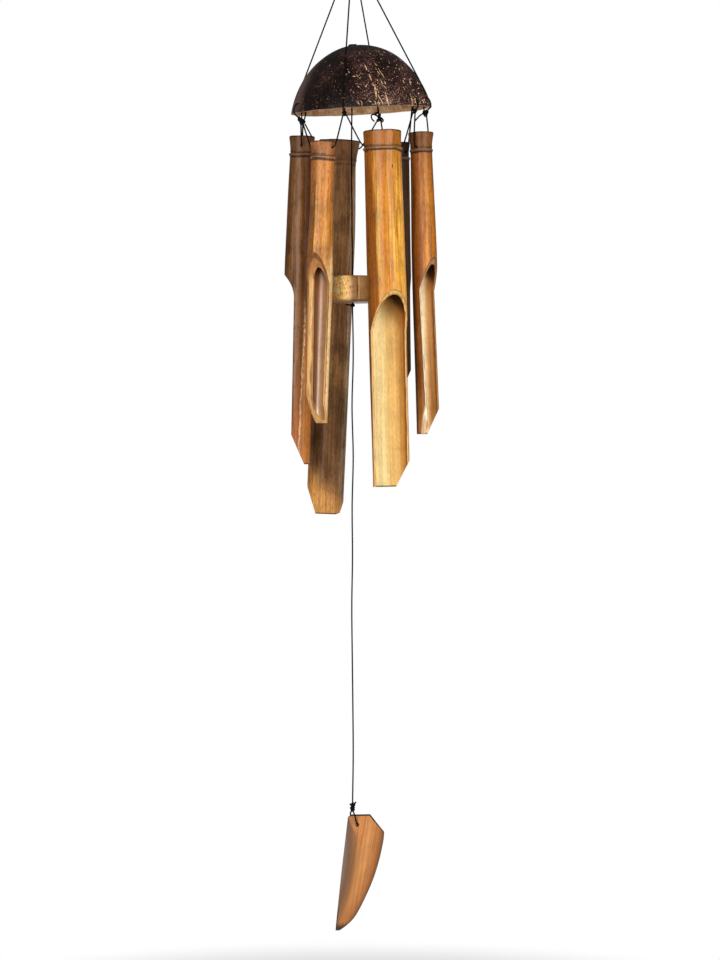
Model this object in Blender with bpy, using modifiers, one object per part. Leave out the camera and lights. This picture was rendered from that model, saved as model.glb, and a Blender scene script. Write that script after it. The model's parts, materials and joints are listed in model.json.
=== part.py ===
"""Bamboo wind chime, hung from the origin. Metres, Z up, the front faces -Y.

Half a coconut shell hangs from four cords. Six bamboo tubes are tied round its rim, a clapper disc hangs
between them on a centre line, and a wind sail hangs below the clapper.
"""

import math
from typing import NamedTuple

import bmesh
import bpy
from mathutils import Matrix, Vector
from mathutils.geometry import interpolate_bezier

# Cord, knots and clearances
CORD_DIAMETER = 0.0013
KNOT_RADIUS = 0.0022
GAP = 0.0003
HOLE_CLEARANCE = 0.00045

# Hanger
LOOP_HEIGHT = 0.030
LOOP_WIDTH = 0.017
GATHER_RADIUS = 0.0032
GATHER_LENGTH = 0.010

# Coconut shell: half an ellipsoid whose centre lies below the rim
SHELL_RIM_RADIUS = 0.060
SHELL_HEIGHT = 0.0557
SHELL_BELLY_DROP = 0.020
SHELL_WALL = 0.0035
SHELL_RIM_CENTRE = Vector((0.0077, 0.0, -0.1700))
SHELL_RIGHT_UP_DEG = 3.0
SHELL_BACK_UP_DEG = 2.6

# Clapper
CROWN_KNOT_RADIUS = 0.0032
CROWN_KNOT_HEIGHT = 0.0018
CLAPPER_DIAMETER = 0.043
CLAPPER_THICKNESS = 0.0222
CLAPPER_TOP_Z = -0.3108
CLAPPER_CHAMFER = 0.0012

# Wind sail
SAIL_KNOT_Z = -0.7618
SAIL_HOLE = Vector((0.0040, 0.0, -0.7766))
SAIL_BEND_RADIUS = 0.028
SAIL_WALL = 0.005
SAIL_LEAN_DEG = 9.0
SAIL_AXIS_X = 0.0025
# Its outline seen from the front, from the hole, clockwise from the top left corner
SAIL_OUTLINE = (
    (-0.0079, 0.0060),
    (-0.0047, 0.0083),
    (0.0110, 0.0085),
    (0.0230, -0.0073),
    (0.0225, -0.0138),
    (0.0189, -0.0303),
    (0.0143, -0.0451),
    (0.0088, -0.0581),
    (0.0004, -0.0746),
    (-0.0051, -0.0819),
    (-0.0152, -0.0898),
    (-0.0184, -0.0898),
    (-0.0180, -0.0847),
    (-0.0134, -0.0405),
    (-0.0102, -0.0138),
)


class Tie(NamedTuple):
    """A tie on the rim: its angle in plan from +X, the height of its drilled hole above the rim, and where its knot
    is: how far below the rim, or above it inside the shell where negative, and how far out in plan."""

    angle_deg: float
    hole_height: float
    knot_drop: float
    knot_reach: float


TIES = {
    "left_front": Tie(204.0, 0.0078, 0.0064, 0.0566),
    "front": Tie(255.2, 0.0075, 0.0046, 0.0575),
    "right_front": Tie(321.0, 0.0050, 0.0046, 0.0570),
    "right": Tie(341.0, 0.0075, 0.0052, 0.0570),
    "right_back": Tie(30.0, 0.0065, -0.0045, 0.0515),
    "back": Tie(74.5, 0.0070, 0.0046, 0.0575),
    "left_back": Tie(151.0, 0.0070, 0.0055, 0.0580),
    "left": Tie(164.0, 0.0075, -0.0055, 0.0515),
}
STITCH_WIDTH = 0.0048
SUSPENDED = ("left", "front", "back", "right")


class Tube(NamedTuple):
    """One tube. Heights are from its cord holes, up to the top and down to the rest. The mitres are corner cuts
    at the foot, each a side in plan, a width and a height."""

    ties: tuple
    slide: float
    hole_z: float
    cup_height: float
    ring_drop: float
    cut_drop: float
    foot_drop: float
    cup_radius: float
    neck_radius: float
    ring_radius: float
    shoulder_radius: float
    belly_radius: float
    cut_radius: float
    foot_radius: float
    wall: float
    cut_facing_deg: float
    cut_run: float
    cut_top_offset: float
    cut_foot_offset: float
    lean_deg: float
    tilt_deg: float
    mitres: tuple


TUBES = (
    Tube(
        ties=("left_front", "left_back"), slide=0.0025, hole_z=-0.1998,
        cup_height=0.0085, ring_drop=0.0069, cut_drop=0.1090, foot_drop=0.2705,
        cup_radius=0.0110, neck_radius=0.0099, ring_radius=0.0110, shoulder_radius=0.0101,
        belly_radius=0.0118, cut_radius=0.0132, foot_radius=0.0112, wall=0.0040,
        cut_facing_deg=166.0, cut_run=0.021, cut_top_offset=0.0014, cut_foot_offset=0.0027,
        lean_deg=0.9, tilt_deg=0.0, mitres=((180.0, 0.0174, 0.0383),),
    ),
    Tube(
        ties=("front", "left_front"), slide=-0.0008, hole_z=-0.2054,
        cup_height=0.0054, ring_drop=0.0080, cut_drop=0.0883, foot_drop=0.2305,
        cup_radius=0.0113, neck_radius=0.0098, ring_radius=0.0109, shoulder_radius=0.0100,
        belly_radius=0.0096, cut_radius=0.0110, foot_radius=0.0096, wall=0.0047,
        cut_facing_deg=240.0, cut_run=0.021, cut_top_offset=0.0017, cut_foot_offset=0.0017,
        lean_deg=1.5, tilt_deg=0.7, mitres=((180.0, 0.0098, 0.0272),),
    ),
    Tube(
        ties=("left_back", "back"), slide=-0.0020, hole_z=-0.1980,
        cup_height=0.0066, ring_drop=0.0129, cut_drop=0.1310, foot_drop=0.3151,
        cup_radius=0.0177, neck_radius=0.0155, ring_radius=0.0150, shoulder_radius=0.0149,
        belly_radius=0.0168, cut_radius=0.0167, foot_radius=0.0163, wall=0.0050,
        cut_facing_deg=111.0, cut_run=0.026, cut_top_offset=0.0010, cut_foot_offset=0.0,
        lean_deg=1.5, tilt_deg=-1.95,
        mitres=((180.0, 0.0044, 0.0307), (180.0, 0.0090, 0.0255), (0.0, 0.0032, 0.0110), (0.0, 0.0064, 0.0024)),
    ),
    Tube(
        ties=("right_front", "front"), slide=-0.0027, hole_z=-0.2045,
        cup_height=0.0129, ring_drop=0.0022, cut_drop=0.1209, foot_drop=0.2848,
        cup_radius=0.0160, neck_radius=0.0156, ring_radius=0.0167, shoulder_radius=0.0155,
        belly_radius=0.0160, cut_radius=0.0164, foot_radius=0.0166, wall=0.0024,
        cut_facing_deg=293.0, cut_run=0.027, cut_top_offset=0.0005, cut_foot_offset=-0.0020,
        lean_deg=1.6, tilt_deg=-1.3, mitres=((0.0, 0.0137, 0.0249),),
    ),
    Tube(
        ties=("back", "right_back"), slide=0.0011, hole_z=-0.2020,
        cup_height=0.0088, ring_drop=0.0050, cut_drop=0.1000, foot_drop=0.2025,
        cup_radius=0.0110, neck_radius=0.0101, ring_radius=0.0112, shoulder_radius=0.0104,
        belly_radius=0.0103, cut_radius=0.0105, foot_radius=0.0102, wall=0.0028,
        cut_facing_deg=58.0, cut_run=0.022, cut_top_offset=0.0010, cut_foot_offset=0.0010,
        lean_deg=1.2, tilt_deg=0.0, mitres=((0.0, 0.0080, 0.0180),),
    ),
    Tube(
        ties=("right", "right_front"), slide=-0.0021, hole_z=-0.2036,
        cup_height=0.0127, ring_drop=0.0026, cut_drop=0.0927, foot_drop=0.2414,
        cup_radius=0.0108, neck_radius=0.0093, ring_radius=0.0099, shoulder_radius=0.0092,
        belly_radius=0.0100, cut_radius=0.0107, foot_radius=0.0104, wall=0.0021,
        cut_facing_deg=322.0, cut_run=0.022, cut_top_offset=0.0015, cut_foot_offset=0.0045,
        lean_deg=1.65, tilt_deg=-0.3, mitres=((0.0, 0.0119, 0.0240),),
    ),
)

CORD_RADIUS = CORD_DIAMETER / 2
HOLE_RADIUS = CORD_RADIUS + HOLE_CLEARANCE
GATHER_TOP_Z = -LOOP_HEIGHT - GAP
APEX = Vector((0.0, 0.0, GATHER_TOP_Z - GATHER_LENGTH / 2))
SHELL_SEMI_HEIGHT = SHELL_HEIGHT + SHELL_BELLY_DROP
SHELL_SEMI_WIDTH = SHELL_RIM_RADIUS / math.sqrt(1 - (SHELL_BELLY_DROP / SHELL_SEMI_HEIGHT) ** 2)
SHELL_FRAME = (
    Matrix.Translation(SHELL_RIM_CENTRE)
    @ Matrix.Rotation(math.radians(SHELL_BACK_UP_DEG), 4, "X")
    @ Matrix.Rotation(math.radians(-SHELL_RIGHT_UP_DEG), 4, "Y")
)
CLAPPER_BOTTOM_Z = CLAPPER_TOP_Z - CLAPPER_THICKNESS
CLAPPER_KNOT_Z = CLAPPER_BOTTOM_Z - GAP - KNOT_RADIUS


def collection(name):
    made = bpy.data.collections.new(name)
    bpy.context.scene.collection.children.link(made)
    return made


def material(name, red, green, blue, roughness):
    made = bpy.data.materials.new(name)
    made.use_nodes = True
    shader = made.node_tree.nodes["Principled BSDF"]
    shader.inputs["Base Color"].default_value = (red, green, blue, 1.0)
    shader.inputs["Roughness"].default_value = roughness
    shader.inputs["Metallic"].default_value = 0.0
    made.diffuse_color = (red, green, blue, 1.0)
    return made


def place(obj, where, finish=None, matrix=None, parent=None):
    where.objects.link(obj)
    if finish:
        obj.data.materials.append(finish)
    if matrix:
        obj.matrix_world = matrix
    if parent:
        bpy.context.view_layer.update()
        obj.parent = parent
        obj.matrix_parent_inverse = parent.matrix_world.inverted()
    return obj


def pivot(name, location, where, parent=None):
    """An empty on a joint's axis."""
    empty = bpy.data.objects.new(name, None)
    empty.empty_display_size = 0.01
    return place(empty, where, matrix=Matrix.Translation(location), parent=parent)


def mesh_object(name, build):
    """An object whose mesh the given function makes in a bmesh."""
    bm = bmesh.new()
    build(bm)
    bmesh.ops.recalc_face_normals(bm, faces=bm.faces)
    data = bpy.data.meshes.new(name)
    bm.to_mesh(data)
    bm.free()
    return bpy.data.objects.new(name, data)


def turned(name, profile, steps, closed=False):
    """A profile of (radius, height) points turned about Z."""
    data = bpy.data.meshes.new(name)
    count = len(profile)
    edges = [(i, i + 1) for i in range(count - 1)]
    if closed:
        edges.append((count - 1, 0))
    data.from_pydata([(r, 0.0, z) for r, z in profile], edges, [])
    obj = bpy.data.objects.new(name, data)
    screw = obj.modifiers.new("turn", "SCREW")
    screw.axis = "Z"
    screw.steps = steps
    screw.render_steps = steps
    screw.use_merge_vertices = True
    screw.merge_threshold = 0.00001
    return obj


def ball(name, radius):
    return mesh_object(
        name, lambda bm: bmesh.ops.create_uvsphere(bm, u_segments=10, v_segments=7, radius=radius)
    )


def drill(name, radius, length):
    """A round cutter along its own X axis."""

    def build(bm):
        bmesh.ops.create_cone(
            bm, cap_ends=True, segments=12, radius1=radius, radius2=radius, depth=length,
            matrix=Matrix.Rotation(math.pi / 2, 4, "Y"),
        )

    return mesh_object(name, build)


def prism(name, outline, half_depth):
    """An outline of (x, z) points made solid from -half_depth to half_depth along Y."""

    def build(bm):
        face = bm.faces.new([bm.verts.new((x, -half_depth, z)) for x, z in outline])
        grown = bmesh.ops.extrude_face_region(bm, geom=[face])["geom"]
        moved = [part for part in grown if isinstance(part, bmesh.types.BMVert)]
        bmesh.ops.translate(bm, verts=moved, vec=(0.0, 2 * half_depth, 0.0))

    return mesh_object(name, build)


def cut(obj, cutter, matrix, operation="DIFFERENCE"):
    place(cutter, helpers, matrix=matrix)
    cutter.hide_render = True
    cutter.display_type = "WIRE"
    boolean = obj.modifiers.new(cutter.name, "BOOLEAN")
    boolean.operation = operation
    boolean.solver = "EXACT"
    boolean.object = cutter


def smooth(route, step, least=1):
    """Points about one step apart on a smooth curve through the route's own points."""
    route = [Vector(point) for point in route]
    ahead = route[1:] + [route[-1]]
    behind = [route[0]] + route[:-1]
    heading = [(b - a).normalized() for a, b in zip(behind, ahead)]
    points = []
    for i in range(len(route) - 1):
        start, end = route[i], route[i + 1]
        reach = (end - start).length / 3
        count = max(least, round(3 * reach / step))
        handles = (start + heading[i] * reach, end - heading[i + 1] * reach)
        points += interpolate_bezier(start, *handles, end, count + 1)[:-1]
    return points + [route[-1]]


def cord(name, points, origin, parent, cyclic=False, sides=2):
    """A round cord through points, with its object origin where its joint turns."""
    data = bpy.data.curves.new(name, "CURVE")
    data.dimensions = "3D"
    data.bevel_depth = CORD_RADIUS
    data.bevel_resolution = sides
    data.use_fill_caps = not cyclic
    spline = data.splines.new("POLY")
    spline.points.add(len(points) - 1)
    for slot, point in zip(spline.points, points):
        slot.co = (*(Vector(point) - Vector(origin)), 1.0)
    spline.use_cyclic_u = cyclic
    spline.use_smooth = True
    obj = bpy.data.objects.new(name, data)
    return place(obj, parts, black_cord, Matrix.Translation(origin), parent)


def plan(angle_deg, radius, height):
    angle = math.radians(angle_deg)
    return Vector((radius * math.cos(angle), radius * math.sin(angle), height))


def shell_radius(height, inset=0.0):
    """The shell's radius at a height above the rim, or that of a surface inset from it."""
    share = (height + SHELL_BELLY_DROP) / (SHELL_SEMI_HEIGHT - inset)
    return (SHELL_SEMI_WIDTH - inset) * math.sqrt(max(0.0, 1 - share * share))


def shell_section(inset, turns):
    """(radius, height) points of the shell's section, from the crown to the rim."""
    rim = math.asin(SHELL_BELLY_DROP / (SHELL_SEMI_HEIGHT - inset))
    points = []
    for i in range(turns + 1):
        angle = math.pi / 2 + (rim - math.pi / 2) * i / turns
        radius = (SHELL_SEMI_WIDTH - inset) * math.cos(angle)
        height = (SHELL_SEMI_HEIGHT - inset) * math.sin(angle) - SHELL_BELLY_DROP
        points.append((max(0.0, radius) if i else 0.0, height))
    return points


def rim_holes(tie):
    """Where a tie's holes go through the wall, in the shell's own frame, each with its angle."""
    radius = shell_radius(tie.hole_height) - SHELL_WALL / 2
    half = math.degrees(STITCH_WIDTH / 2 / radius)
    angles = (-half, half) if tie.knot_drop < 0 else (0.0,)
    return [(tie.angle_deg + side, plan(tie.angle_deg + side, radius, tie.hole_height)) for side in angles]


def knot_centre(tie):
    return SHELL_FRAME @ plan(tie.angle_deg, tie.knot_reach, -tie.knot_drop)


def crown_surface():
    """Where the plumb line leaves the shell's outer surface, and the surface's direction there."""
    into = SHELL_FRAME.inverted()
    low, high = SHELL_RIM_CENTRE.z, SHELL_RIM_CENTRE.z + 2 * SHELL_HEIGHT
    for _ in range(50):
        middle = (low + high) / 2
        point = into @ Vector((0.0, 0.0, middle))
        inside = (point.x**2 + point.y**2) / SHELL_SEMI_WIDTH**2
        inside += ((point.z + SHELL_BELLY_DROP) / SHELL_SEMI_HEIGHT) ** 2
        low, high = (middle, high) if inside < 1 else (low, middle)
    level = Vector((point.x, point.y, 0.0)) / SHELL_SEMI_WIDTH**2
    level.z = (point.z + SHELL_BELLY_DROP) / SHELL_SEMI_HEIGHT**2
    return Vector((0.0, 0.0, low)), (SHELL_FRAME.to_3x3() @ level).normalized()


def suspension_route(tie):
    """A taut cord from the gather knot to the dome and down over it to the tie's hole."""
    lift = CORD_RADIUS + GAP
    wide, tall = SHELL_SEMI_WIDTH + lift, SHELL_SEMI_HEIGHT + lift
    apex = SHELL_FRAME.inverted() @ APEX
    across = plan(tie.angle_deg, 1.0, 0.0)
    p = apex.dot(across) / wide
    q = (apex.z + SHELL_BELLY_DROP) / tall
    touch = math.atan2(q, p) - math.acos(1 / math.hypot(p, q))
    stop = math.asin((tie.hole_height + 2 * CORD_DIAMETER + SHELL_BELLY_DROP) / tall)
    count = max(3, round((touch - stop) / math.radians(6)))
    route = []
    for i in range(count + 1):
        angle = touch + (stop - touch) * i / count
        local = across * (wide * math.cos(angle))
        local.z = tall * math.sin(angle) - SHELL_BELLY_DROP
        route.append(SHELL_FRAME @ local)
    down = route[0] - APEX
    clear = GATHER_LENGTH / 2 + 2 * GAP
    return [APEX + down * (clear / -down.z), APEX + down * 0.5] + route


def hitch_route(tie):
    """A loop through the rim hole, over the edge on both sides of the wall and down to the knot."""
    lift = CORD_RADIUS + GAP
    top = tie.hole_height
    knot_top = -tie.knot_drop + KNOT_RADIUS + lift
    section = (
        (shell_radius(top) - SHELL_WALL / 2, top),
        (shell_radius(top) + 0.6 * lift, top - 0.0003),
        (shell_radius(top - 0.002) + 1.2 * lift, top - 0.002),
        (shell_radius(0.002) + 1.2 * lift, 0.002),
        (SHELL_RIM_RADIUS + 0.9 * lift, -lift),
        (tie.knot_reach + 1.6 * lift, min(-1.6 * lift, knot_top + 0.5 * lift)),
        (tie.knot_reach, knot_top),
        (tie.knot_reach - 1.6 * lift, min(-1.6 * lift, knot_top + 0.5 * lift)),
        (shell_radius(0.0, SHELL_WALL) - lift, -lift),
        (shell_radius(0.002, SHELL_WALL) - 1.2 * lift, 0.002),
        (shell_radius(top - 0.002, SHELL_WALL) - 1.2 * lift, top - 0.002),
        (shell_radius(top, SHELL_WALL) - 0.6 * lift, top - 0.0003),
    )
    return [SHELL_FRAME @ plan(tie.angle_deg, radius, height) for radius, height in section]


def stitch_route(tie):
    """From a knot inside the shell out through one hole, and back to it through the next."""
    lift = CORD_RADIUS + GAP
    wide = STITCH_WIDTH / 2
    top = tie.hole_height
    inside = shell_radius(top, SHELL_WALL)
    outside = shell_radius(top)
    route = []
    for sign in (-1, 1):
        steps = [(0.3 * wide, outside + 1.1 * lift), (0.75 * wide, outside + 0.8 * lift), (wide, outside - 0.0006)]
        steps += [(wide, inside), (0.9 * wide, inside - 0.0012)]
        turn = []
        for across, radius in steps:
            angle = tie.angle_deg + sign * math.degrees(across / radius)
            turn.append(SHELL_FRAME @ plan(angle, radius, top))
        knot = knot_centre(tie)
        turn.append(knot + (turn[-1] - knot).normalized() * (KNOT_RADIUS + GAP))
        route = turn[::-1] if sign < 0 else route + turn
    return route


def hang_line(tube):
    """(from knot, to knot, cord hole's centre, level direction from the first knot to the second)."""
    start, end = (knot_centre(TIES[name]) for name in tube.ties)
    along = Vector((end.x - start.x, end.y - start.y, 0.0)).normalized()
    middle = (start + end) / 2 + along * tube.slide
    return start, end, Vector((middle.x, middle.y, tube.hole_z)), along


def tube_cord_route(tube):
    """From one rim knot to the tube's hole, through the tube and up to the other knot."""
    start, end, hole, along = hang_line(tube)
    up = Vector((0.0, 0.0, 1.0))
    side = tube.cup_radius + CORD_RADIUS + 2 * GAP
    corner = tube.cup_height + CORD_DIAMETER
    route = [hole]
    aside = 0.5 * KNOT_RADIUS
    leave = math.sqrt((KNOT_RADIUS + GAP) ** 2 - aside**2)
    for sign, knot in ((1, end), (-1, start)):
        reach = (knot - hole).dot(along) * sign
        inward = math.copysign(aside, reach - side + 2 * aside)
        knot = knot - along * (sign * inward)
        reach -= inward
        slope = (reach - side) / (knot.z - hole.z)
        turn = [
            hole + along * (sign * (tube.cup_radius - tube.wall)),
            hole + along * (sign * (side - CORD_RADIUS)),
            hole + along * (sign * (side + max(0.0, slope) * 0.002)) + up * 0.0018,
        ]
        if slope < 0:
            turn.append(hole + along * (sign * side) + up * corner)
        away = (knot - turn[-1]).normalized()
        turn.append(knot - away * leave)
        route = route + turn if sign > 0 else turn[::-1] + route
    return route


def stay_route(tube):
    """From the tube's first knot across its cup to the strand that rises to the second."""
    strand = tube_cord_route(tube)
    start, end, hole, along = hang_line(tube)
    low, high = strand[-2], strand[-1]
    meet = low + (high - low) * 0.5
    away = (meet - start).normalized()
    return [
        start + away * (KNOT_RADIUS + GAP),
        start + (meet - start) * 0.5 + Vector((0.0, 0.0, -0.0008)),
        meet - away * (CORD_DIAMETER + GAP),
    ]


def tube_frame(tube):
    """The tube's own frame: origin in its cord hole, X along the hole, Z up the tube."""
    _, _, hole, along = hang_line(tube)
    return (
        Matrix.Translation(hole)
        @ Matrix.Rotation(math.atan2(along.y, along.x), 4, "Z")
        @ Matrix.Rotation(math.radians(-tube.tilt_deg), 4, "Y")
        @ Matrix.Rotation(math.radians(tube.lean_deg), 4, "X")
    )


def tube_profile(tube):
    ring = -tube.ring_drop
    cup_bore = min(tube.cup_radius, tube.neck_radius) - tube.wall * 0.8
    floor = min(ring + 0.001, -HOLE_RADIUS - 0.0006)
    belly = (ring - tube.cut_drop) / 2
    return (
        (0.0, floor),
        (cup_bore - 0.0008, floor),
        (cup_bore, floor + 0.0008),
        (cup_bore + 0.0003, tube.cup_height - 0.0004),
        (cup_bore + 0.0007, tube.cup_height),
        (tube.cup_radius - 0.0005, tube.cup_height),
        (tube.cup_radius, tube.cup_height - 0.0006),
        (tube.neck_radius, min(ring + 0.0055, tube.cup_height - 0.004)),
        (tube.neck_radius, ring + 0.0014),
        (tube.ring_radius, ring),
        (tube.shoulder_radius, ring - 0.0022),
        (tube.belly_radius, belly),
        (tube.cut_radius, -tube.cut_drop),
        ((tube.cut_radius + tube.foot_radius) / 2, -(tube.cut_drop + tube.foot_drop) / 2),
        (tube.foot_radius, -tube.foot_drop),
        (tube.foot_radius - tube.wall, -tube.foot_drop),
        (tube.cut_radius - tube.wall, -tube.cut_drop),
        (tube.belly_radius - tube.wall, belly),
        (tube.shoulder_radius - tube.wall, floor - 0.0045),
        (tube.shoulder_radius - tube.wall - 0.0015, floor - 0.003),
        (0.0, floor - 0.003),
    )


def tongue_outline(tube):
    """What the tongue cut takes away, as (distance out from the tube's axis, height)."""
    first = math.radians(35)
    past = 0.003
    depth = tube.cut_radius - tube.cut_top_offset
    outline = []
    for i in range(7):
        angle = first + (math.pi / 2 - first) * i / 6
        out = tube.cut_radius - depth * (math.sin(angle) - math.sin(first)) / (1 - math.sin(first))
        drop = tube.cut_run * (math.cos(first) - math.cos(angle)) / math.cos(first)
        outline.append((out, -tube.cut_drop - drop))
    rise = (outline[0][1] - outline[1][1]) / (outline[0][0] - outline[1][0])
    outline.insert(0, (tube.cut_radius + past, -tube.cut_drop + rise * past))
    outline.append((tube.cut_foot_offset, -tube.foot_drop - past))
    outline.append((tube.cut_radius + past, -tube.foot_drop - past))
    return outline


def make_tube(number, tube, parent):
    frame = tube_frame(tube)
    heading = math.degrees(math.atan2(frame[1][0], frame[0][0]))
    name = f"bamboo_tube_{number}"
    obj = turned(name, tube_profile(tube), 26 if tube.foot_radius > 0.014 else 20)
    place(obj, parts, bamboo[number - 1], frame, parent)
    wide = tube.cup_radius + 0.006
    turn = Matrix.Rotation(math.radians(tube.cut_facing_deg - heading), 4, "Z")
    cut(obj, prism(f"{name}_tongue", tongue_outline(tube), wide), frame @ turn)
    for index, (side, width, height) in enumerate(tube.mitres):
        slope = Vector((width, height)) * 0.25
        outer = Vector((tube.foot_radius, height - tube.foot_drop)) + slope
        inner = Vector((tube.foot_radius - width, -tube.foot_drop)) - slope
        turn = Matrix.Rotation(math.radians(side - heading), 4, "Z")
        wedge = prism(f"{name}_mitre_{index + 1}", (inner, (outer.x, inner.y), outer), wide)
        cut(obj, wedge, frame @ turn)
    level = Matrix.Translation(frame.translation) @ Matrix.Rotation(math.radians(heading), 4, "Z")
    cut(obj, drill(f"{name}_holes", HOLE_RADIUS, 2 * wide), level)
    return obj


def make_hanger():
    half = LOOP_WIDTH / 2
    side = (
        (0.0011, 0.0, -LOOP_HEIGHT),
        (0.5 * half, 0.0, -0.76 * LOOP_HEIGHT),
        (half, 0.0, -0.38 * LOOP_HEIGHT),
        (0.72 * half, 0.0, -0.09 * LOOP_HEIGHT),
    )
    left = [(-x, y, z) for x, y, z in side]
    route = left + [(0.0, 0.0, CORD_RADIUS)] + list(side[::-1])
    cord("hang_loop", smooth(route, 0.0035, 2), (0.0, 0.0, 0.0), None)
    half = GATHER_LENGTH / 2
    r = GATHER_RADIUS
    profile = (
        (0.0, half), (0.45 * r, 0.95 * half), (0.85 * r, 0.72 * half), (r, 0.45 * half), (0.82 * r, 0.14 * half),
        (r, -0.2 * half), (0.95 * r, -0.6 * half), (0.75 * r, -0.9 * half), (0.5 * r, -half), (0.0, -half),
    )
    knot = turned("gather_knot", profile, 12)
    return place(knot, parts, black_cord, Matrix.Translation(APEX))


def make_shell(canopy):
    profile = shell_section(0.0, 11) + shell_section(SHELL_WALL, 9)[::-1]
    shell = turned("coconut_shell", profile, 40)
    place(shell, parts, coconut, SHELL_FRAME, canopy)
    down = Matrix.Translation((0.0, 0.0, crown_surface()[0].z)) @ Matrix.Rotation(math.pi / 2, 4, "Y")
    cut(shell, drill("crown_drill", HOLE_RADIUS + 2 * GAP, 4 * SHELL_WALL), down)
    for name, tie in TIES.items():
        for index, (angle, centre) in enumerate(rim_holes(tie)):
            turn = Matrix.Rotation(math.radians(angle), 4, "Z")
            bore = SHELL_FRAME @ Matrix.Translation(centre) @ turn
            cut(shell, drill(f"rim_drill_{name}_{index}", HOLE_RADIUS + GAP, 3 * SHELL_WALL), bore)


def make_ties(canopy):
    for number, (name, tie) in enumerate(TIES.items(), 1):
        centre = knot_centre(tie)
        if tie.knot_drop < 0:
            cord(f"rim_hitch_{number}", smooth(stitch_route(tie), 0.0032), centre, canopy, sides=1)
        else:
            loop = hitch_route(tie)
            closed = smooth(loop + loop[:1], 0.0032)[:-1]
            cord(f"rim_hitch_{number}", closed, centre, canopy, cyclic=True, sides=1)
        knot = ball(f"rim_knot_{number}", KNOT_RADIUS)
        place(knot, parts, black_cord, Matrix.Translation(centre), canopy)
    for number, name in enumerate(SUSPENDED, 1):
        cord(f"suspension_cord_{number}", suspension_route(TIES[name]), APEX, canopy)


def make_tubes(canopy):
    for number, tube in enumerate(TUBES, 1):
        start, _, _, _ = hang_line(tube)
        hang = pivot(f"tube_{number}_hang", start, parts, canopy)
        cord(f"tube_cord_{number}", smooth(tube_cord_route(tube), 0.005), start, hang)
        make_tube(number, tube, hang)
        if tube.ties == ("right", "right_front"):
            cord(f"tube_{number}_stay", smooth(stay_route(tube), 0.004), start, hang)


def make_clapper(canopy):
    surface, normal = crown_surface()
    half = CROWN_KNOT_HEIGHT / 2
    r = CROWN_KNOT_RADIUS
    profile = (
        (0.0, half), (0.5 * r, 0.85 * half), (0.85 * r, 0.5 * half), (r, 0.0), (0.85 * r, -0.6 * half),
        (0.5 * r, -half), (0.0, -half),
    )
    crown = turned("crown_knot", profile, 12)
    lie = Vector((0.0, 0.0, 1.0)).rotation_difference(normal).to_matrix().to_4x4()
    centre = surface + normal * (half + GAP)
    place(crown, parts, black_cord, Matrix.Translation(centre) @ lie, canopy)
    top = centre.z - half - 2 * GAP
    low = CLAPPER_KNOT_Z + KNOT_RADIUS + GAP
    length = top - low
    route = (
        (0.0, 0.0, top),
        (0.0, 0.0, top - 0.05 * length),
        (-0.0008, 0.0004, top - 0.42 * length),
        (0.0, 0.0, CLAPPER_TOP_Z + 0.004),
        (0.0, 0.0, low),
    )
    cord("clapper_line", smooth(route, 0.012), centre, crown)
    bore = CORD_RADIUS + GAP
    half = CLAPPER_DIAMETER / 2
    corner = CLAPPER_CHAMFER
    profile = (
        (bore, 0.0), (half - corner, 0.0), (half, -corner), (half, corner - CLAPPER_THICKNESS),
        (half - corner, -CLAPPER_THICKNESS), (bore, -CLAPPER_THICKNESS),
    )
    disc = turned("clapper_disc", profile, 32, closed=True)
    place(disc, parts, clapper_wood, Matrix.Translation((0.0, 0.0, CLAPPER_TOP_Z)), crown)
    knot = ball("clapper_knot", KNOT_RADIUS)
    return place(knot, parts, black_cord, Matrix.Translation((0.0, 0.0, CLAPPER_KNOT_Z)), crown)


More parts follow.
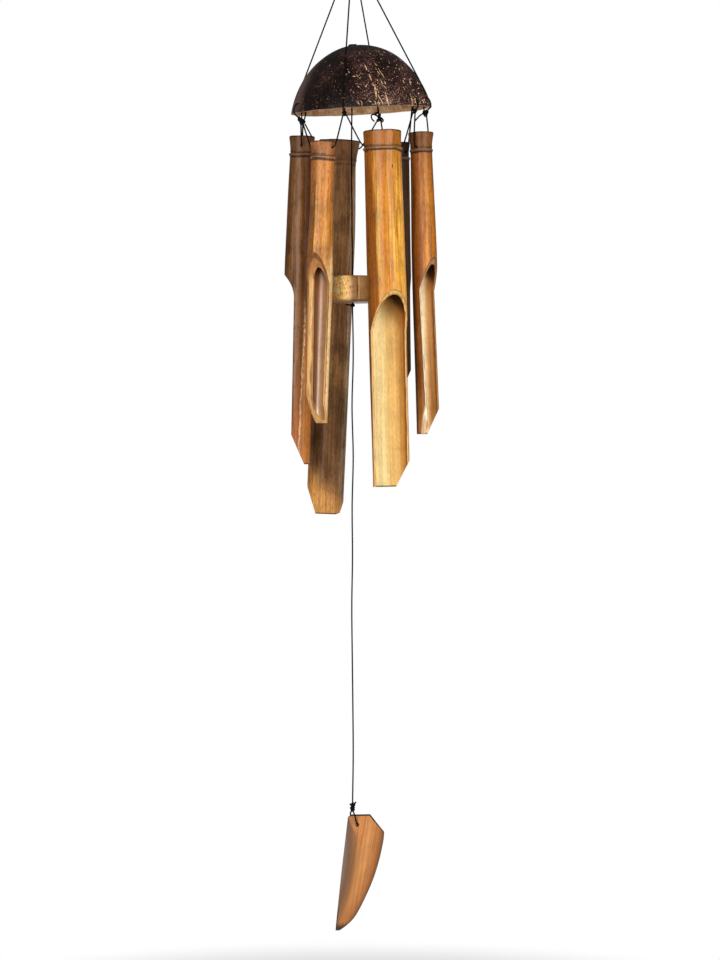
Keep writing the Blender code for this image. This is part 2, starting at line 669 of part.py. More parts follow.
def make_sail(clapper_knot):
    start = Vector((0.0, 0.0, CLAPPER_KNOT_Z - KNOT_RADIUS - GAP))
    end = Vector((0.0, 0.0, SAIL_KNOT_Z + KNOT_RADIUS + GAP))
    drift = (0.0, 0.0006, -0.0004, 0.0006, -0.0003, 0.0, -0.0006, -0.0002, 0.0003, 0.0006, 0.0)
    route = []
    for i, side in enumerate(drift):
        share = i / (len(drift) - 1)
        route.append(start.lerp(end, share) + Vector((side, 0.3 * side, 0.0)))
    cord("sail_line", smooth(route, 0.012), (0.0, 0.0, CLAPPER_KNOT_Z), clapper_knot)
    swivel = ball("sail_knot", KNOT_RADIUS)
    centre = Vector((0.0, 0.0, SAIL_KNOT_Z))
    place(swivel, parts, black_cord, Matrix.Translation(centre), clapper_knot)
    face = SAIL_WALL / 2 + CORD_RADIUS + 2 * GAP
    leave = 0.75 * (KNOT_RADIUS + GAP)
    loop = (
        centre + Vector((0.0, -leave, -leave)),
        centre.lerp(SAIL_HOLE, 0.45) + Vector((0.0, -face, 0.0)),
        SAIL_HOLE + Vector((-0.0008, -face - 0.0004, 0.0024)),
        SAIL_HOLE + Vector((0.0, -face + 0.0004, 0.0002)),
        SAIL_HOLE,
        SAIL_HOLE + Vector((0.0, face - 0.0002, 0.0002)),
        SAIL_HOLE + Vector((-0.0006, face + 0.0018, 0.0030)),
        centre.lerp(SAIL_HOLE, 0.45) + Vector((0.0, face + 0.0022, 0.0)),
        centre + Vector((0.0, leave, -leave)),
    )
    cord("sail_loop", smooth(loop, 0.003), centre, swivel)
    sail = prism("wind_sail", SAIL_OUTLINE, 0.024)
    place(sail, parts, sail_bamboo, Matrix.Translation(SAIL_HOLE), swivel)
    section = ((0.0, 0.09), (SAIL_BEND_RADIUS, 0.09), (SAIL_BEND_RADIUS, -0.12), (0.0, -0.12))
    axis = SAIL_HOLE + Vector((SAIL_AXIS_X, SAIL_BEND_RADIUS - SAIL_WALL / 2, -0.04))
    axis.x -= 0.04 * math.tan(math.radians(SAIL_LEAN_DEG))
    lean = Matrix.Rotation(math.radians(SAIL_LEAN_DEG), 4, "Y")
    cut(sail, turned("sail_outside", section, 56), Matrix.Translation(axis) @ lean, "INTERSECT")
    axis.y += SAIL_WALL
    cut(sail, turned("sail_inside", section, 56), Matrix.Translation(axis) @ lean)
    across = Matrix.Translation(SAIL_HOLE) @ Matrix.Rotation(math.pi / 2, 4, "Z")
    cut(sail, drill("sail_drill", HOLE_RADIUS, 4 * SAIL_WALL), across)


def shade():
    for obj in parts.objects:
        if obj.type == "MESH":
            obj.data.shade_smooth()
            obj.data.set_sharp_from_angle(angle=math.radians(35))


for old in list(bpy.data.objects):
    bpy.data.objects.remove(old, do_unlink=True)
bpy.context.scene.unit_settings.system = "METRIC"
parts = collection("bamboo_wind_chime")
helpers = collection("cutters")
black_cord = material("waxed_cord", 0.012, 0.011, 0.010, 0.6)
coconut = material("coconut_shell", 0.075, 0.040, 0.022, 0.45)
clapper_wood = material("clapper_wood", 0.42, 0.25, 0.12, 0.6)
sail_bamboo = material("sail_bamboo", 0.45, 0.26, 0.12, 0.5)
bamboo = (
    material("bamboo_brown", 0.20, 0.095, 0.045, 0.45),
    material("bamboo_orange", 0.55, 0.25, 0.07, 0.45),
    material("bamboo_umber", 0.13, 0.060, 0.030, 0.5),
    material("bamboo_yellow", 0.66, 0.38, 0.10, 0.4),
    material("bamboo_dark", 0.035, 0.020, 0.014, 0.5),
    material("bamboo_red", 0.30, 0.10, 0.04, 0.45),
)
gather = make_hanger()
canopy_pivot = pivot("canopy_turn", APEX, parts, gather)
make_shell(canopy_pivot)
make_ties(canopy_pivot)
make_tubes(canopy_pivot)
make_sail(make_clapper(canopy_pivot))
shade()
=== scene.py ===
"""Bamboo wind chime: the looks of its shell, tubes, clapper, sail and cords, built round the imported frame.

Metres, Z up. The hanging point is the origin and the front faces -Y.
"""

import json
import math
import random
from typing import NamedTuple

import bmesh
import bpy
from bpy.props import FloatProperty, FloatVectorProperty, IntProperty, PointerProperty
from mathutils import Euler, Matrix, Vector, noise
from mathutils.geometry import interpolate_bezier

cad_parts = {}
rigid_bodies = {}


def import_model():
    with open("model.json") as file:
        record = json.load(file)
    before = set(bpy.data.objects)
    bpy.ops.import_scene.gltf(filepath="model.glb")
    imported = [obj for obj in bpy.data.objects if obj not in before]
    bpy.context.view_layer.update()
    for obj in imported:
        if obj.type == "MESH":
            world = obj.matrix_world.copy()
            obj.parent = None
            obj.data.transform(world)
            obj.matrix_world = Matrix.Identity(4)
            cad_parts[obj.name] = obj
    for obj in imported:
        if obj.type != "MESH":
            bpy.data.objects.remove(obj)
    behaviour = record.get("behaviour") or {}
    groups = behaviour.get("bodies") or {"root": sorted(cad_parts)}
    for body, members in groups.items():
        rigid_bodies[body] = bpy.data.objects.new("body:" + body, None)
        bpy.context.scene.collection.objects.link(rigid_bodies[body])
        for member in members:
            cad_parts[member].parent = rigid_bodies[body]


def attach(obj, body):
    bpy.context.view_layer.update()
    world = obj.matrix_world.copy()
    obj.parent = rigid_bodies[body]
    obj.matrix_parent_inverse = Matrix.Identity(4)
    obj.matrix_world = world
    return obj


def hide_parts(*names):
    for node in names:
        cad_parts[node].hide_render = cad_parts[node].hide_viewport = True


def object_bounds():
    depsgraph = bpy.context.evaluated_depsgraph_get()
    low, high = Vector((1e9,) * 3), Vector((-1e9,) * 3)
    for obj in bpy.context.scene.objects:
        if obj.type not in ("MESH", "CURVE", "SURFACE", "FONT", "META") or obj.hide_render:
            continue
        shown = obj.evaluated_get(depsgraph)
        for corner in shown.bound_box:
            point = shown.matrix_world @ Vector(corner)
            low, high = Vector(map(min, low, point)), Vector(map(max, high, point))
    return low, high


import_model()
cad_low, cad_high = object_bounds()

bl_info = {
    "name": "Bamboo Wind Chime",
    "version": (1, 0, 0),
    "blender": (4, 5, 0),
    "location": "3D View > Sidebar > Chime",
    "description": "Builds a hanging wind chime of bamboo, coconut shell and waxed cord",
    "category": "Object",
}

UP = Vector((0.0, 0.0, 1.0))
GAP = 0.0003
KNOT_RADIUS = 0.0022
# A hole's radius over the cord's
HOLE_CLEARANCE = 0.00045

# Hanger
LOOP_HEIGHT = 0.030
LOOP_WIDTH = 0.017
GATHER_RADIUS = 0.0032
GATHER_LENGTH = 0.010
APEX = Vector((0.0, 0.0, -LOOP_HEIGHT - GAP - GATHER_LENGTH / 2))

# Coconut shell: half an ellipsoid whose centre lies below the rim
SHELL_RIM_RADIUS = 0.060
SHELL_HEIGHT = 0.0557
SHELL_BELLY_DROP = 0.020
SHELL_WALL = 0.0035
SHELL_SEMI_HEIGHT = SHELL_HEIGHT + SHELL_BELLY_DROP
SHELL_SEMI_WIDTH = SHELL_RIM_RADIUS / math.sqrt(1 - (SHELL_BELLY_DROP / SHELL_SEMI_HEIGHT) ** 2)
SHELL_FRAME = (
    Matrix.Translation((0.0077, 0.0, -0.1700))
    @ Matrix.Rotation(math.radians(2.6), 4, "X")
    @ Matrix.Rotation(math.radians(-3.0), 4, "Y")
)
STITCH_WIDTH = 0.0048

# Clapper and wind sail
CLAPPER_DIAMETER = 0.043
CLAPPER_THICKNESS = 0.0222
CLAPPER_TOP_Z = -0.3108
CLAPPER_KNOT_Z = CLAPPER_TOP_Z - CLAPPER_THICKNESS - GAP - KNOT_RADIUS
SAIL_KNOT_Z = -0.7618
SAIL_HOLE = Vector((0.0040, 0.0, -0.7766))
SAIL_BEND_RADIUS = 0.028
SAIL_WALL = 0.005
SAIL_LEAN_DEG = 9.0
SAIL_FRAME = Matrix.Translation(SAIL_HOLE) @ Matrix.Rotation(math.radians(SAIL_LEAN_DEG), 4, "Y")
SAIL_AXIS_X = 0.0025
# The arc that its rounded edge follows, from the hole
SAIL_ARC_CENTRE = Vector((-0.1319, 0.0, 0.0084))
SAIL_ARC_RADIUS = 0.1557
# The ridge beside its planed side: an arc's centre from the hole and its radius, and the line that the plane
# starts from
SAIL_RIDGE_CENTRE = Vector((-0.1705, 0.0, -0.0139))
SAIL_RIDGE_RADIUS = 0.1695
SAIL_PLANE_START = Vector((-0.0058, 0.0, 0.0001))
SAIL_PLANE_RUN = Vector((-0.915, 0.0, -0.403))
# Its outline seen from the front, from the hole, clockwise from the top left corner
SAIL_OUTLINE = (
    (-0.0079, 0.0060),
    (-0.0047, 0.0083),
    (0.0110, 0.0085),
    (0.0230, -0.0073),
    (0.0225, -0.0138),
    (0.0189, -0.0303),
    (0.0143, -0.0451),
    (0.0088, -0.0581),
    (0.0004, -0.0746),
    (-0.0051, -0.0819),
    (-0.0152, -0.0898),
    (-0.0184, -0.0898),
    (-0.0180, -0.0847),
    (-0.0134, -0.0405),
    (-0.0102, -0.0138),
)


class Tie(NamedTuple):
    """A tie on the rim: its angle in plan from +X, the height of its hole above the rim, how far below the
    rim its knot is, or above it inside the shell where negative, how far out the knot is in plan, and how far
    its cord bows out."""

    angle_deg: float
    hole_height: float
    knot_drop: float
    knot_reach: float
    bow: float


TIES = {
    "left_front": Tie(204.0, 0.0078, 0.0064, 0.0566, 0.0018),
    "front": Tie(255.2, 0.0075, 0.0046, 0.0575, 0.0),
    "right_front": Tie(321.0, 0.0050, 0.0046, 0.0570, 0.0),
    "right": Tie(341.0, 0.0075, 0.0052, 0.0570, 0.0012),
    "right_back": Tie(30.0, 0.0065, -0.0045, 0.0515, 0.0),
    "back": Tie(74.5, 0.0070, 0.0046, 0.0575, 0.0),
    "left_back": Tie(151.0, 0.0070, 0.0055, 0.0580, 0.0005),
    "left": Tie(164.0, 0.0075, -0.0055, 0.0515, 0.0),
}
SUSPENDED = ("left", "front", "back", "right")


class Tube(NamedTuple):
    """One tube's shape. Heights are from its cord holes, up to the top and down to the rest.
    A mitre takes a corner off its foot: the side in degrees from +X, its width and its height."""

    ties: tuple
    slide: float
    hole_z: float
    cup_height: float
    ring_drop: float
    cut_drop: float
    foot_drop: float
    cup_radius: float
    neck_radius: float
    ring_radius: float
    shoulder_radius: float
    belly_radius: float
    cut_radius: float
    foot_radius: float
    wall: float
    cut_facing_deg: float
    cut_run: float
    cut_top_offset: float
    cut_foot_offset: float
    lean_deg: float
    tilt_deg: float
    mitres: tuple


TUBES = (
    Tube(
        ties=("left_front", "left_back"), slide=0.0025, hole_z=-0.1998,
        cup_height=0.0085, ring_drop=0.0069, cut_drop=0.1090, foot_drop=0.2705,
        cup_radius=0.0110, neck_radius=0.0099, ring_radius=0.0110, shoulder_radius=0.0101,
        belly_radius=0.0118, cut_radius=0.0132, foot_radius=0.0112, wall=0.0040,
        cut_facing_deg=166.0, cut_run=0.021, cut_top_offset=0.0014, cut_foot_offset=0.0027,
        lean_deg=0.9, tilt_deg=0.0, mitres=((180.0, 0.0174, 0.0383),),
    ),
    Tube(
        ties=("front", "left_front"), slide=-0.0008, hole_z=-0.2054,
        cup_height=0.0054, ring_drop=0.0080, cut_drop=0.0883, foot_drop=0.2305,
        cup_radius=0.0113, neck_radius=0.0098, ring_radius=0.0109, shoulder_radius=0.0100,
        belly_radius=0.0096, cut_radius=0.0110, foot_radius=0.0096, wall=0.0047,
        cut_facing_deg=240.0, cut_run=0.021, cut_top_offset=0.0017, cut_foot_offset=0.0017,
        lean_deg=1.5, tilt_deg=0.7, mitres=((225.0, 0.0164, 0.0386),),
    ),
    Tube(
        ties=("left_back", "back"), slide=-0.0020, hole_z=-0.1980,
        cup_height=0.0066, ring_drop=0.0129, cut_drop=0.1310, foot_drop=0.3151,
        cup_radius=0.0177, neck_radius=0.0155, ring_radius=0.0150, shoulder_radius=0.0149,
        belly_radius=0.0168, cut_radius=0.0167, foot_radius=0.0163, wall=0.0050,
        cut_facing_deg=111.0, cut_run=0.026, cut_top_offset=0.0010, cut_foot_offset=0.0,
        lean_deg=1.5, tilt_deg=-1.95,
        mitres=(
            (180.0, 0.0044, 0.0307), (180.0, 0.0090, 0.0255), (0.0, 0.0032, 0.0110), (0.0, 0.0064, 0.0024),
        ),
    ),
    Tube(
        ties=("right_front", "front"), slide=-0.0027, hole_z=-0.2045,
        cup_height=0.0129, ring_drop=0.0022, cut_drop=0.1209, foot_drop=0.2848,
        cup_radius=0.0160, neck_radius=0.0156, ring_radius=0.0167, shoulder_radius=0.0155,
        belly_radius=0.0160, cut_radius=0.0164, foot_radius=0.0166, wall=0.0024,
        cut_facing_deg=293.0, cut_run=0.027, cut_top_offset=0.0005, cut_foot_offset=-0.0020,
        lean_deg=1.6, tilt_deg=-1.3, mitres=((0.0, 0.0137, 0.0249),),
    ),
    Tube(
        ties=("back", "right_back"), slide=0.0011, hole_z=-0.2020,
        cup_height=0.0088, ring_drop=0.0050, cut_drop=0.1000, foot_drop=0.2025,
        cup_radius=0.0110, neck_radius=0.0101, ring_radius=0.0112, shoulder_radius=0.0104,
        belly_radius=0.0103, cut_radius=0.0105, foot_radius=0.0102, wall=0.0028,
        cut_facing_deg=58.0, cut_run=0.022, cut_top_offset=0.0010, cut_foot_offset=0.0010,
        lean_deg=1.2, tilt_deg=0.0, mitres=((0.0, 0.0080, 0.0180),),
    ),
    Tube(
        ties=("right", "right_front"), slide=-0.0021, hole_z=-0.2036,
        cup_height=0.0127, ring_drop=0.0026, cut_drop=0.0927, foot_drop=0.2414,
        cup_radius=0.0108, neck_radius=0.0093, ring_radius=0.0099, shoulder_radius=0.0092,
        belly_radius=0.0100, cut_radius=0.0107, foot_radius=0.0104, wall=0.0021,
        cut_facing_deg=322.0, cut_run=0.022, cut_top_offset=0.0015, cut_foot_offset=0.0045,
        lean_deg=1.65, tilt_deg=-0.3, mitres=((0.0, 0.0119, 0.0240), (270.0, 0.0028, 0.0307)),
    ),
)


class Spot(NamedTuple):
    """A dark mark on a culm: its side, its height from the cord holes, its width and its length."""

    side: float
    height: float
    wide: float
    tall: float


class Finish(NamedTuple):
    """A tube's colours, among which its sides and inside hold painted highlights and painted shade.
    Its sides run round it: 0 is the back, 0.25 the left, 0.5 the front, 0.75 the right.
    The foot's colour comes in between two drops from the cord holes, further down on one side where it is
    skewed. The edge is the width of the dark line along the tongue, and the shade is how far the dark reaches
    in under the arch. The cut may start with a straight run, and the bore may be shifted aside and grown."""

    slot: str
    sides: tuple
    cup: str
    shoulder: str
    stain: str
    foot: str
    foot_from: float
    foot_to: float
    inside: tuple
    sawn: str
    arch: str
    gloss: float
    foot_skew: float = 0.0
    spots: tuple = ()
    ridge: float = 0.9
    painted_shadow_drop: float = 0.0
    mottle: float = 1.0
    bore_shift: float = 0.0
    bore_grow: float = 0.0
    straight_run: float = 0.0
    band_side: float = 0.0
    band: str = ""
    edge: float = 0.0024
    sawn_right: str = ""
    shade: float = 0.015


FINISHES = (
    Finish(
        slot="bamboo_brown",
        # A painted highlight lies just left of the front, and painted shadow of the second tube darkens the
        # right.
        sides=((0.0, "5e3c20"), (0.27, "744a20"), (0.38, "704a28"), (0.45, "9e6e48"), (0.49, "98683f"),
               (0.53, "6e421a"), (0.62, "5e350e"), (0.75, "6a3c10")),
        cup="6e4828", shoulder="6a4424", stain="502c10",
        foot="ac5e20", foot_from=0.17, foot_to=0.25, foot_skew=-0.05,
        inside=((0.0, "6b4224"), (0.5, "66401f")), sawn="c99b70", arch="8a5c34", gloss=0.18,
    ),
    Finish(
        slot="bamboo_orange",
        # A painted highlight stripe lies left of the front; the hollow is darker on the left as painted shade
        # and has a painted highlight stripe.
        sides=((0.0, "8a5a34"), (0.28, "96643f"), (0.40, "8a5528"), (0.43, "d8984e"), (0.47, "c4823a"),
               (0.55, "cc8632"), (0.62, "bc782a"), (0.8, "b0742e")),
        cup="945a30", shoulder="b06c34", stain="a8642c",
        foot="d8a05a", foot_from=0.20, foot_to=0.26,
        inside=((0.0, "bc8e6a"), (0.04, "906448"), (0.2, "704428"), (0.64, "b07a4a"), (0.8, "a8743f"),
                (0.9, "b08058"), (0.96, "ffdcc0")),
        sawn="e6b070", arch="a86a36", gloss=0.3,
        spots=(Spot(0.42, -0.0440, 0.0010, 0.0012), Spot(0.58, -0.0200, 0.0007, 0.0022)),
        bore_shift=0.0025, bore_grow=0.0003, mottle=1.35, straight_run=0.026,
        # The pale band right of the tongue is partly pared wood and partly a painted highlight.
        band_side=0.66, band="ffd898", edge=0.0014, shade=0.021,
    ),
    Finish(
        slot="bamboo_umber",
        sides=((0.0, "74502e"), (0.35, "9a6c46"), (0.5, "a87a4e"), (0.60, "aa7848"), (0.66, "dcb48c"),
               (0.8, "d0a478")),
        cup="6f4a2c", shoulder="835c3c", stain="6f4a2a",
        foot="d4944e", foot_from=0.279, foot_to=0.302, foot_skew=0.08,
        inside=((0.0, "8a6036"), (0.5, "8a6036")), sawn="c79a64", arch="8a6038", gloss=0.1,
        # The lower part is darkened as painted shadow of the tubes in front.
        ridge=0.4, painted_shadow_drop=0.24, mottle=1.3,
        spots=(Spot(0.40, -0.0530, 0.0010, 0.0012),),
    ),
    Finish(
        slot="bamboo_yellow",
        # A painted highlight stripe lies left of the front and the left is darkened as painted shade; inside,
        # the left is lit pale with a painted highlight and the right is in painted shade.
        sides=((0.0, "c08438"), (0.3, "6b3d14"), (0.38, "905010"), (0.415, "985814"), (0.44, "dca644"),
               (0.465, "cc8420"), (0.495, "c67612"), (0.54, "da941e"), (0.60, "e8a436"), (0.66, "f4b048"),
               (0.75, "ffc46c")),
        cup="96561a", shoulder="b0661c", stain="a85c14",
        foot="e0a24a", foot_from=0.24, foot_to=0.29,
        inside=((0.0, "dcb062"), (0.08, "ecd090"), (0.2, "fbe2a4"), (0.3, "e4be72"), (0.8, "985618"),
                (0.9, "c08a44"), (0.95, "dcae68")),
        sawn="dcaa68", arch="d8a45c", gloss=0.34,
        spots=(Spot(0.58, -0.0180, 0.0012, 0.0034),), bore_grow=0.0004, straight_run=0.034, shade=0.009,
    ),
    Finish(
        slot="bamboo_dark",
        sides=((0.0, "2c190e"), (0.5, "351d10"), (0.75, "563c28")),
        cup="2a1812", shoulder="2c190e", stain="241208",
        foot="3c2314", foot_from=0.12, foot_to=0.20,
        inside=((0.0, "5e3f28"), (0.5, "5e3f28")), sawn="7a5a3c", arch="4a3020", gloss=0.12,
    ),
    Finish(
        slot="bamboo_red",
        # The left side is darkened as painted shade; inside, the left is lit pale and the right is in painted
        # shade.
        sides=((0.0, "7a4a20"), (0.3, "66390f"), (0.40, "864a16"), (0.47, "a46026"), (0.54, "c28038"),
               (0.62, "b86e20"), (0.75, "a05c1a")),
        cup="663e1d", shoulder="8a5024", stain="884812",
        foot="b97538", foot_from=0.19, foot_to=0.24,
        inside=((0.0, "f0c488"), (0.04, "ffe6ba"), (0.25, "ffe6ba"), (0.80, "986230"), (0.88, "a87038"),
                (0.95, "c48c54")),
        # The pale left sawn edge is partly a painted highlight, and the dark band left of the tongue is
        # painted shade.
        sawn="ffeec8", arch="9c6434", gloss=0.22, bore_shift=0.0010, straight_run=0.028,
        band_side=0.24, band="2a180c", sawn_right="b88048", shade=0.018,
    ),
)

# Lines round a tube at its ring: the height from it, half the width where a line is full and where it ends,
# its strength and its colour. The strong dark line below the ring is partly a groove and partly painted shade
# under the raised ring.
RING_LINES = (
    (0.0, 0.0012, 0.0019, 0.6, "74543a"),
    (0.0018, 0.0005, 0.0012, 0.65, "1f0f07"),
    (-0.0018, 0.0005, 0.0014, 1.0, "170b05"),
)
# Where most of a noise pattern's values lie
NOISE_RANGE = (0.3, 0.7)

# The pale edge of a strip that peeled off the first tube: its ends as (side, height), and its width
PEEL_TOP = (0.558, -0.128)
PEEL_FOOT = (0.524, -0.262)
PEEL_WIDTH = 0.0013

# Loose husk fibres on the front of the dome, in mm as seen from the front with the hanging point at 0:
# across and up at one end, across and up at the other, and the width
FIBRES = (
    (10.1, -135.6, 12.5, -140.9, 1.5), (14.0, -144.0, 16.2, -150.1, 1.1),
    (16.6, -152.7, 18.8, -155.3, 0.7), (18.8, -154.8, 20.1, -164.9, 1.8),
    (20.1, -156.1, 22.3, -160.9, 0.7), (21.0, -161.9, 25.8, -170.1, 1.0),
    (17.9, -133.4, 20.6, -136.5, 1.1), (21.4, -138.7, 27.1, -147.9, 0.8),
    (20.6, -140.5, 22.9, -144.6, 0.8), (23.2, -148.3, 25.4, -153.1, 0.6),
    (25.4, -153.6, 28.6, -156.8, 0.8), (26.9, -150.4, 27.9, -152.7, 1.5),
    (25.8, -139.5, 26.4, -137.9, 0.7), (15.7, -130.3, 19.7, -129.5, 0.6),
    (27.3, -159.7, 30.6, -171.5, 1.6), (48.5, -159.7, 50.7, -170.6, 1.3),
    (46.7, -164.0, 47.8, -170.1, 1.0), (52.4, -163.2, 53.4, -168.2, 0.8),
    (42.8, -167.1, 44.3, -168.6, 0.7), (44.2, -164.0, 45.9, -165.8, 0.6),
    (41.5, -162.3, 42.7, -163.6, 0.6), (44.8, -161.4, 45.5, -162.3, 0.5),
    (47.8, -148.3, 49.6, -149.8, 0.6), (42.3, -148.3, 43.5, -150.5, 0.6),
    (10.7, -155.8, 12.1, -154.0, 0.8), (4.2, -154.7, 5.9, -156.2, 0.7),
    (5.0, -131.3, 6.0, -132.6, 1.3), (3.4, -168.2, 5.9, -170.8, 1.2),
    (6.8, -167.4, 8.5, -169.9, 0.9), (18.6, -167.8, 19.9, -171.1, 1.1),
    (21.6, -167.5, 22.9, -170.8, 1.2), (38.5, -162.3, 39.3, -165.8, 1.0),
    (-10.1, -132.6, -7.5, -134.8, 0.5), (-3.3, -141.5, -2.4, -142.9, 1.1),
    (3.4, -144.4, 4.4, -147.0, 0.7), (0.4, -146.6, 2.5, -146.1, 0.6),
    (5.5, -144.4, 6.1, -146.1, 0.6), (0.5, -159.8, 1.3, -161.3, 1.0),
    (-14.9, -154.4, -15.1, -156.6, 0.5), (-10.2, -157.8, -9.5, -159.3, 0.7),
    (-8.8, -161.4, -6.4, -162.5, 0.5), (-20.1, -163.2, -18.9, -164.4, 0.6),
    (-20.9, -164.6, -20.2, -166.1, 0.9), (-19.5, -167.1, -17.5, -172.0, 0.8),
    (-29.5, -167.3, -28.7, -168.6, 1.0), (-26.6, -165.1, -25.9, -166.5, 0.8),
)

# Loose ends and second turns of the rim knots, from the knot's centre
TAILS = {
    "left_front": (
        ((0.0, -0.0004, -0.0006), (0.0012, -0.0012, -0.0022), (0.0008, -0.0004, -0.0038),
         (-0.0006, 0.0004, -0.0030)),
    ),
    "right": (
        ((0.0, 0.0, -0.0004), (0.0012, -0.0006, -0.0022), (-0.0002, -0.0008, -0.0036),
         (-0.0014, -0.0004, -0.0022)),
    ),
    "back": (
        ((0.0, -0.0006, 0.0012), (-0.0050, -0.0014, 0.0038), (-0.0070, -0.0012, 0.0030),
         (-0.0066, -0.0008, 0.0), (-0.0044, -0.0004, -0.0022)),
        ((-0.0010, -0.0012, 0.0052), (-0.0034, -0.0016, 0.0044), (-0.0024, -0.0010, 0.0026),
         (-0.0004, -0.0014, 0.0034), (-0.0016, -0.0018, 0.0048), (-0.0030, -0.0012, 0.0034),
         (-0.0010, -0.0006, 0.0022)),
        ((0.0004, -0.0010, 0.0010), (0.0022, -0.0016, 0.0002), (0.0032, -0.0010, -0.0018),
         (0.0016, -0.0006, -0.0028)),
    ),
}


def linear(code):
    """An sRGB hex code as linear red, green, blue and 1."""
    values = []
    for i in (0, 2, 4):
        share = int(code[i : i + 2], 16) / 255
        values.append(share / 12.92 if share <= 0.04045 else ((share + 0.055) / 1.055) ** 2.4)
    return (*values, 1.0)


def length_property(name, description, default):
    return FloatProperty(name=name, description=description, default=default, unit="LENGTH")


def count_property(name, description, default):
    return IntProperty(name=name, description=description, default=default, min=0, max=600)


def power_property(name, description, default):
    return FloatProperty(name=name, description=description, default=default)


def colour_property(name, description, code):
    return FloatVectorProperty(
        name=name, description=description, subtype="COLOR", size=4, default=linear(code)
    )


class ChimeSizes(bpy.types.PropertyGroup):
    """Sizes of the chime's pieces that a user may change."""

    cord_diameter: length_property("Cord diameter", "Thickness of the waxed cord", 0.0013)
    edge_round: length_property("Edge rounding", "Rounding of the sawn edges of the bamboo", 0.00035)
    skin_relief: length_property("Skin relief", "How far a culm departs from round", 0.00022)
    shell_relief: length_property("Shell relief", "How far the shell departs from an even dome", 0.0005)
    fibre_count: count_property("Husk fibres", "Fibres of the husk left on the back of the shell", 60)
    speck_count: count_property("Husk specks", "Short ends of fibre on the front of the shell", 190)
    floor_drop: length_property("Floor drop", "How far the floor is below the sail", 0.06)


class ChimeLights(bpy.types.PropertyGroup):
    """Strengths of the studio lights."""

    left: power_property("Left strip", "Power of the left strip light in watts", 8.0)
    right: power_property("Right panel", "Power of the right panel light in watts", 27.0)
    front: power_property("Front panel", "Power of the front panel light in watts", 20.0)
    room: power_property("Room", "Strength of the even light of the room", 0.13)


class ChimeColours(bpy.types.PropertyGroup):
    """Colours that the chime's finishes start from."""

    cord: colour_property("Cord", "Black waxed cord", "0a0908")
    shell_dark: colour_property("Shell", "Polished coconut shell", "1a0d0d")
    shell_fibre: colour_property("Fibre", "Husk fibre on the shell", "f0c894")
    shell_inside: colour_property("Shell inside", "Inner wall of the shell", "dfaf82")
    # The clapper's pale tone holds a painted highlight.
    clapper: colour_property("Clapper", "Palm wood of the clapper", "ffc872")
    sail: colour_property("Sail", "Skin of the bamboo sail", "c47f42")


def sizes():
    return bpy.context.scene.chime_sizes


def colours():
    return bpy.context.scene.chime_colours


def cord_radius():
    return sizes().cord_diameter / 2


# Materials


def finish(name):
    """A new material and its node tree."""
    made = bpy.data.materials.new(name)
    made.use_nodes = True
    return made, made.node_tree


def fill(tree, node, inputs):
    """Sets a node's inputs to values, or links them from other nodes' outputs."""
    for key, value in inputs.items():
        if isinstance(value, bpy.types.NodeSocket):
            tree.links.new(value, node.inputs[key])
        else:
            node.inputs[key].default_value = value


def add(tree, kind, inputs=(), out=0, stops=(), **settings):
    """A node with its settings, its inputs by name or in order, and its colour stops.
    Gives one of its outputs or, where out is None, all of them."""
    made = tree.nodes.new("ShaderNode" + kind)
    for key, value in settings.items():
        setattr(made, key, value)
    fill(tree, made, inputs if isinstance(inputs, dict) else dict(enumerate(inputs)))
    if stops:
        elements = made.color_ramp.elements
        for place, colour in stops[1:-1]:
            elements.new(place).color = colour
        elements[0].position, elements[0].color = stops[0]
        elements[-1].position, elements[-1].color = stops[-1]
    return made.outputs if out is None else made.outputs[out]


def surface(made, tone, rough, gloss=0.5, relief=()):
    """Gives a material its colour, roughness, gloss, and relief in layers of (strength, depth, pattern)."""
    tree = made.node_tree
    below = {}
    for strength, depth, pattern in relief:
        bump = add(tree, "Bump", {"Strength": strength, "Distance": depth, "Height": pattern, **below})
        below = {"Normal": bump}
    looks = {"Base Color": tone, "Roughness": rough, "Specular IOR Level": gloss, **below}
    fill(tree, tree.nodes["Principled BSDF"], looks)
    return made


def own_place(tree, placed):
    """Coordinates in a piece's own frame."""
    place = add(tree, "TexCoord", out="Object")
    frame_of = {"Vector": place, "Location": placed.translation, "Rotation": placed.to_euler()}
    return add(tree, "Mapping", frame_of, vector_type="TEXTURE")


def round_stops(stops):
    """Colour stops round a tube that close at its back."""
    made = [(place, linear(code)) for place, code in stops]
    return made + [(1.0, made[0][1])]


def fibres(tree, local, across, run, detail=3.0):
    """Noise drawn out along the culm: across is a fibre's width and run its length over its width."""
    drawn = add(tree, "Mapping", {"Vector": local, "Scale": (1.0, 1.0, 1.0 / run)})
    return add(tree, "TexNoise", {"Vector": drawn, "Scale": 1.0 / across, "Detail": detail})


def coats(tree, tone, *layers):
    """A tone with colours laid over it. A layer is (value, low, high, most, colour): none of it where
    the value is low, and the most of it where the value is high."""
    for value, low, high, most, code in layers:
        share = add(tree, "MapRange", (value, low, high, 0.0, most), interpolation_type="SMOOTHSTEP")
        tone = add(tree, "Mix", {0: share, 6: tone, 7: linear(code)}, 2, data_type="RGBA")
    return tone


def shades(tree, tone, *patterns):
    """A tone darkened and lightened by patterns: an amount, a value and its stops of (value, level)."""
    for amount, value, *stops in patterns:
        levels = [(place, (level, level, level, 1.0)) for place, level in stops]
        shade = add(tree, "ValToRGB", (value,), stops=levels)
        tone = add(tree, "Mix", {0: amount, 6: tone, 7: shade}, 2, data_type="RGBA", blend_type="MULTIPLY")
    return tone


def apart(tree, value, mark):
    """How far a value is from a mark, either way."""
    off = add(tree, "Math", (value, mark), operation="SUBTRACT")
    return add(tree, "Math", (off,), operation="ABSOLUTE")


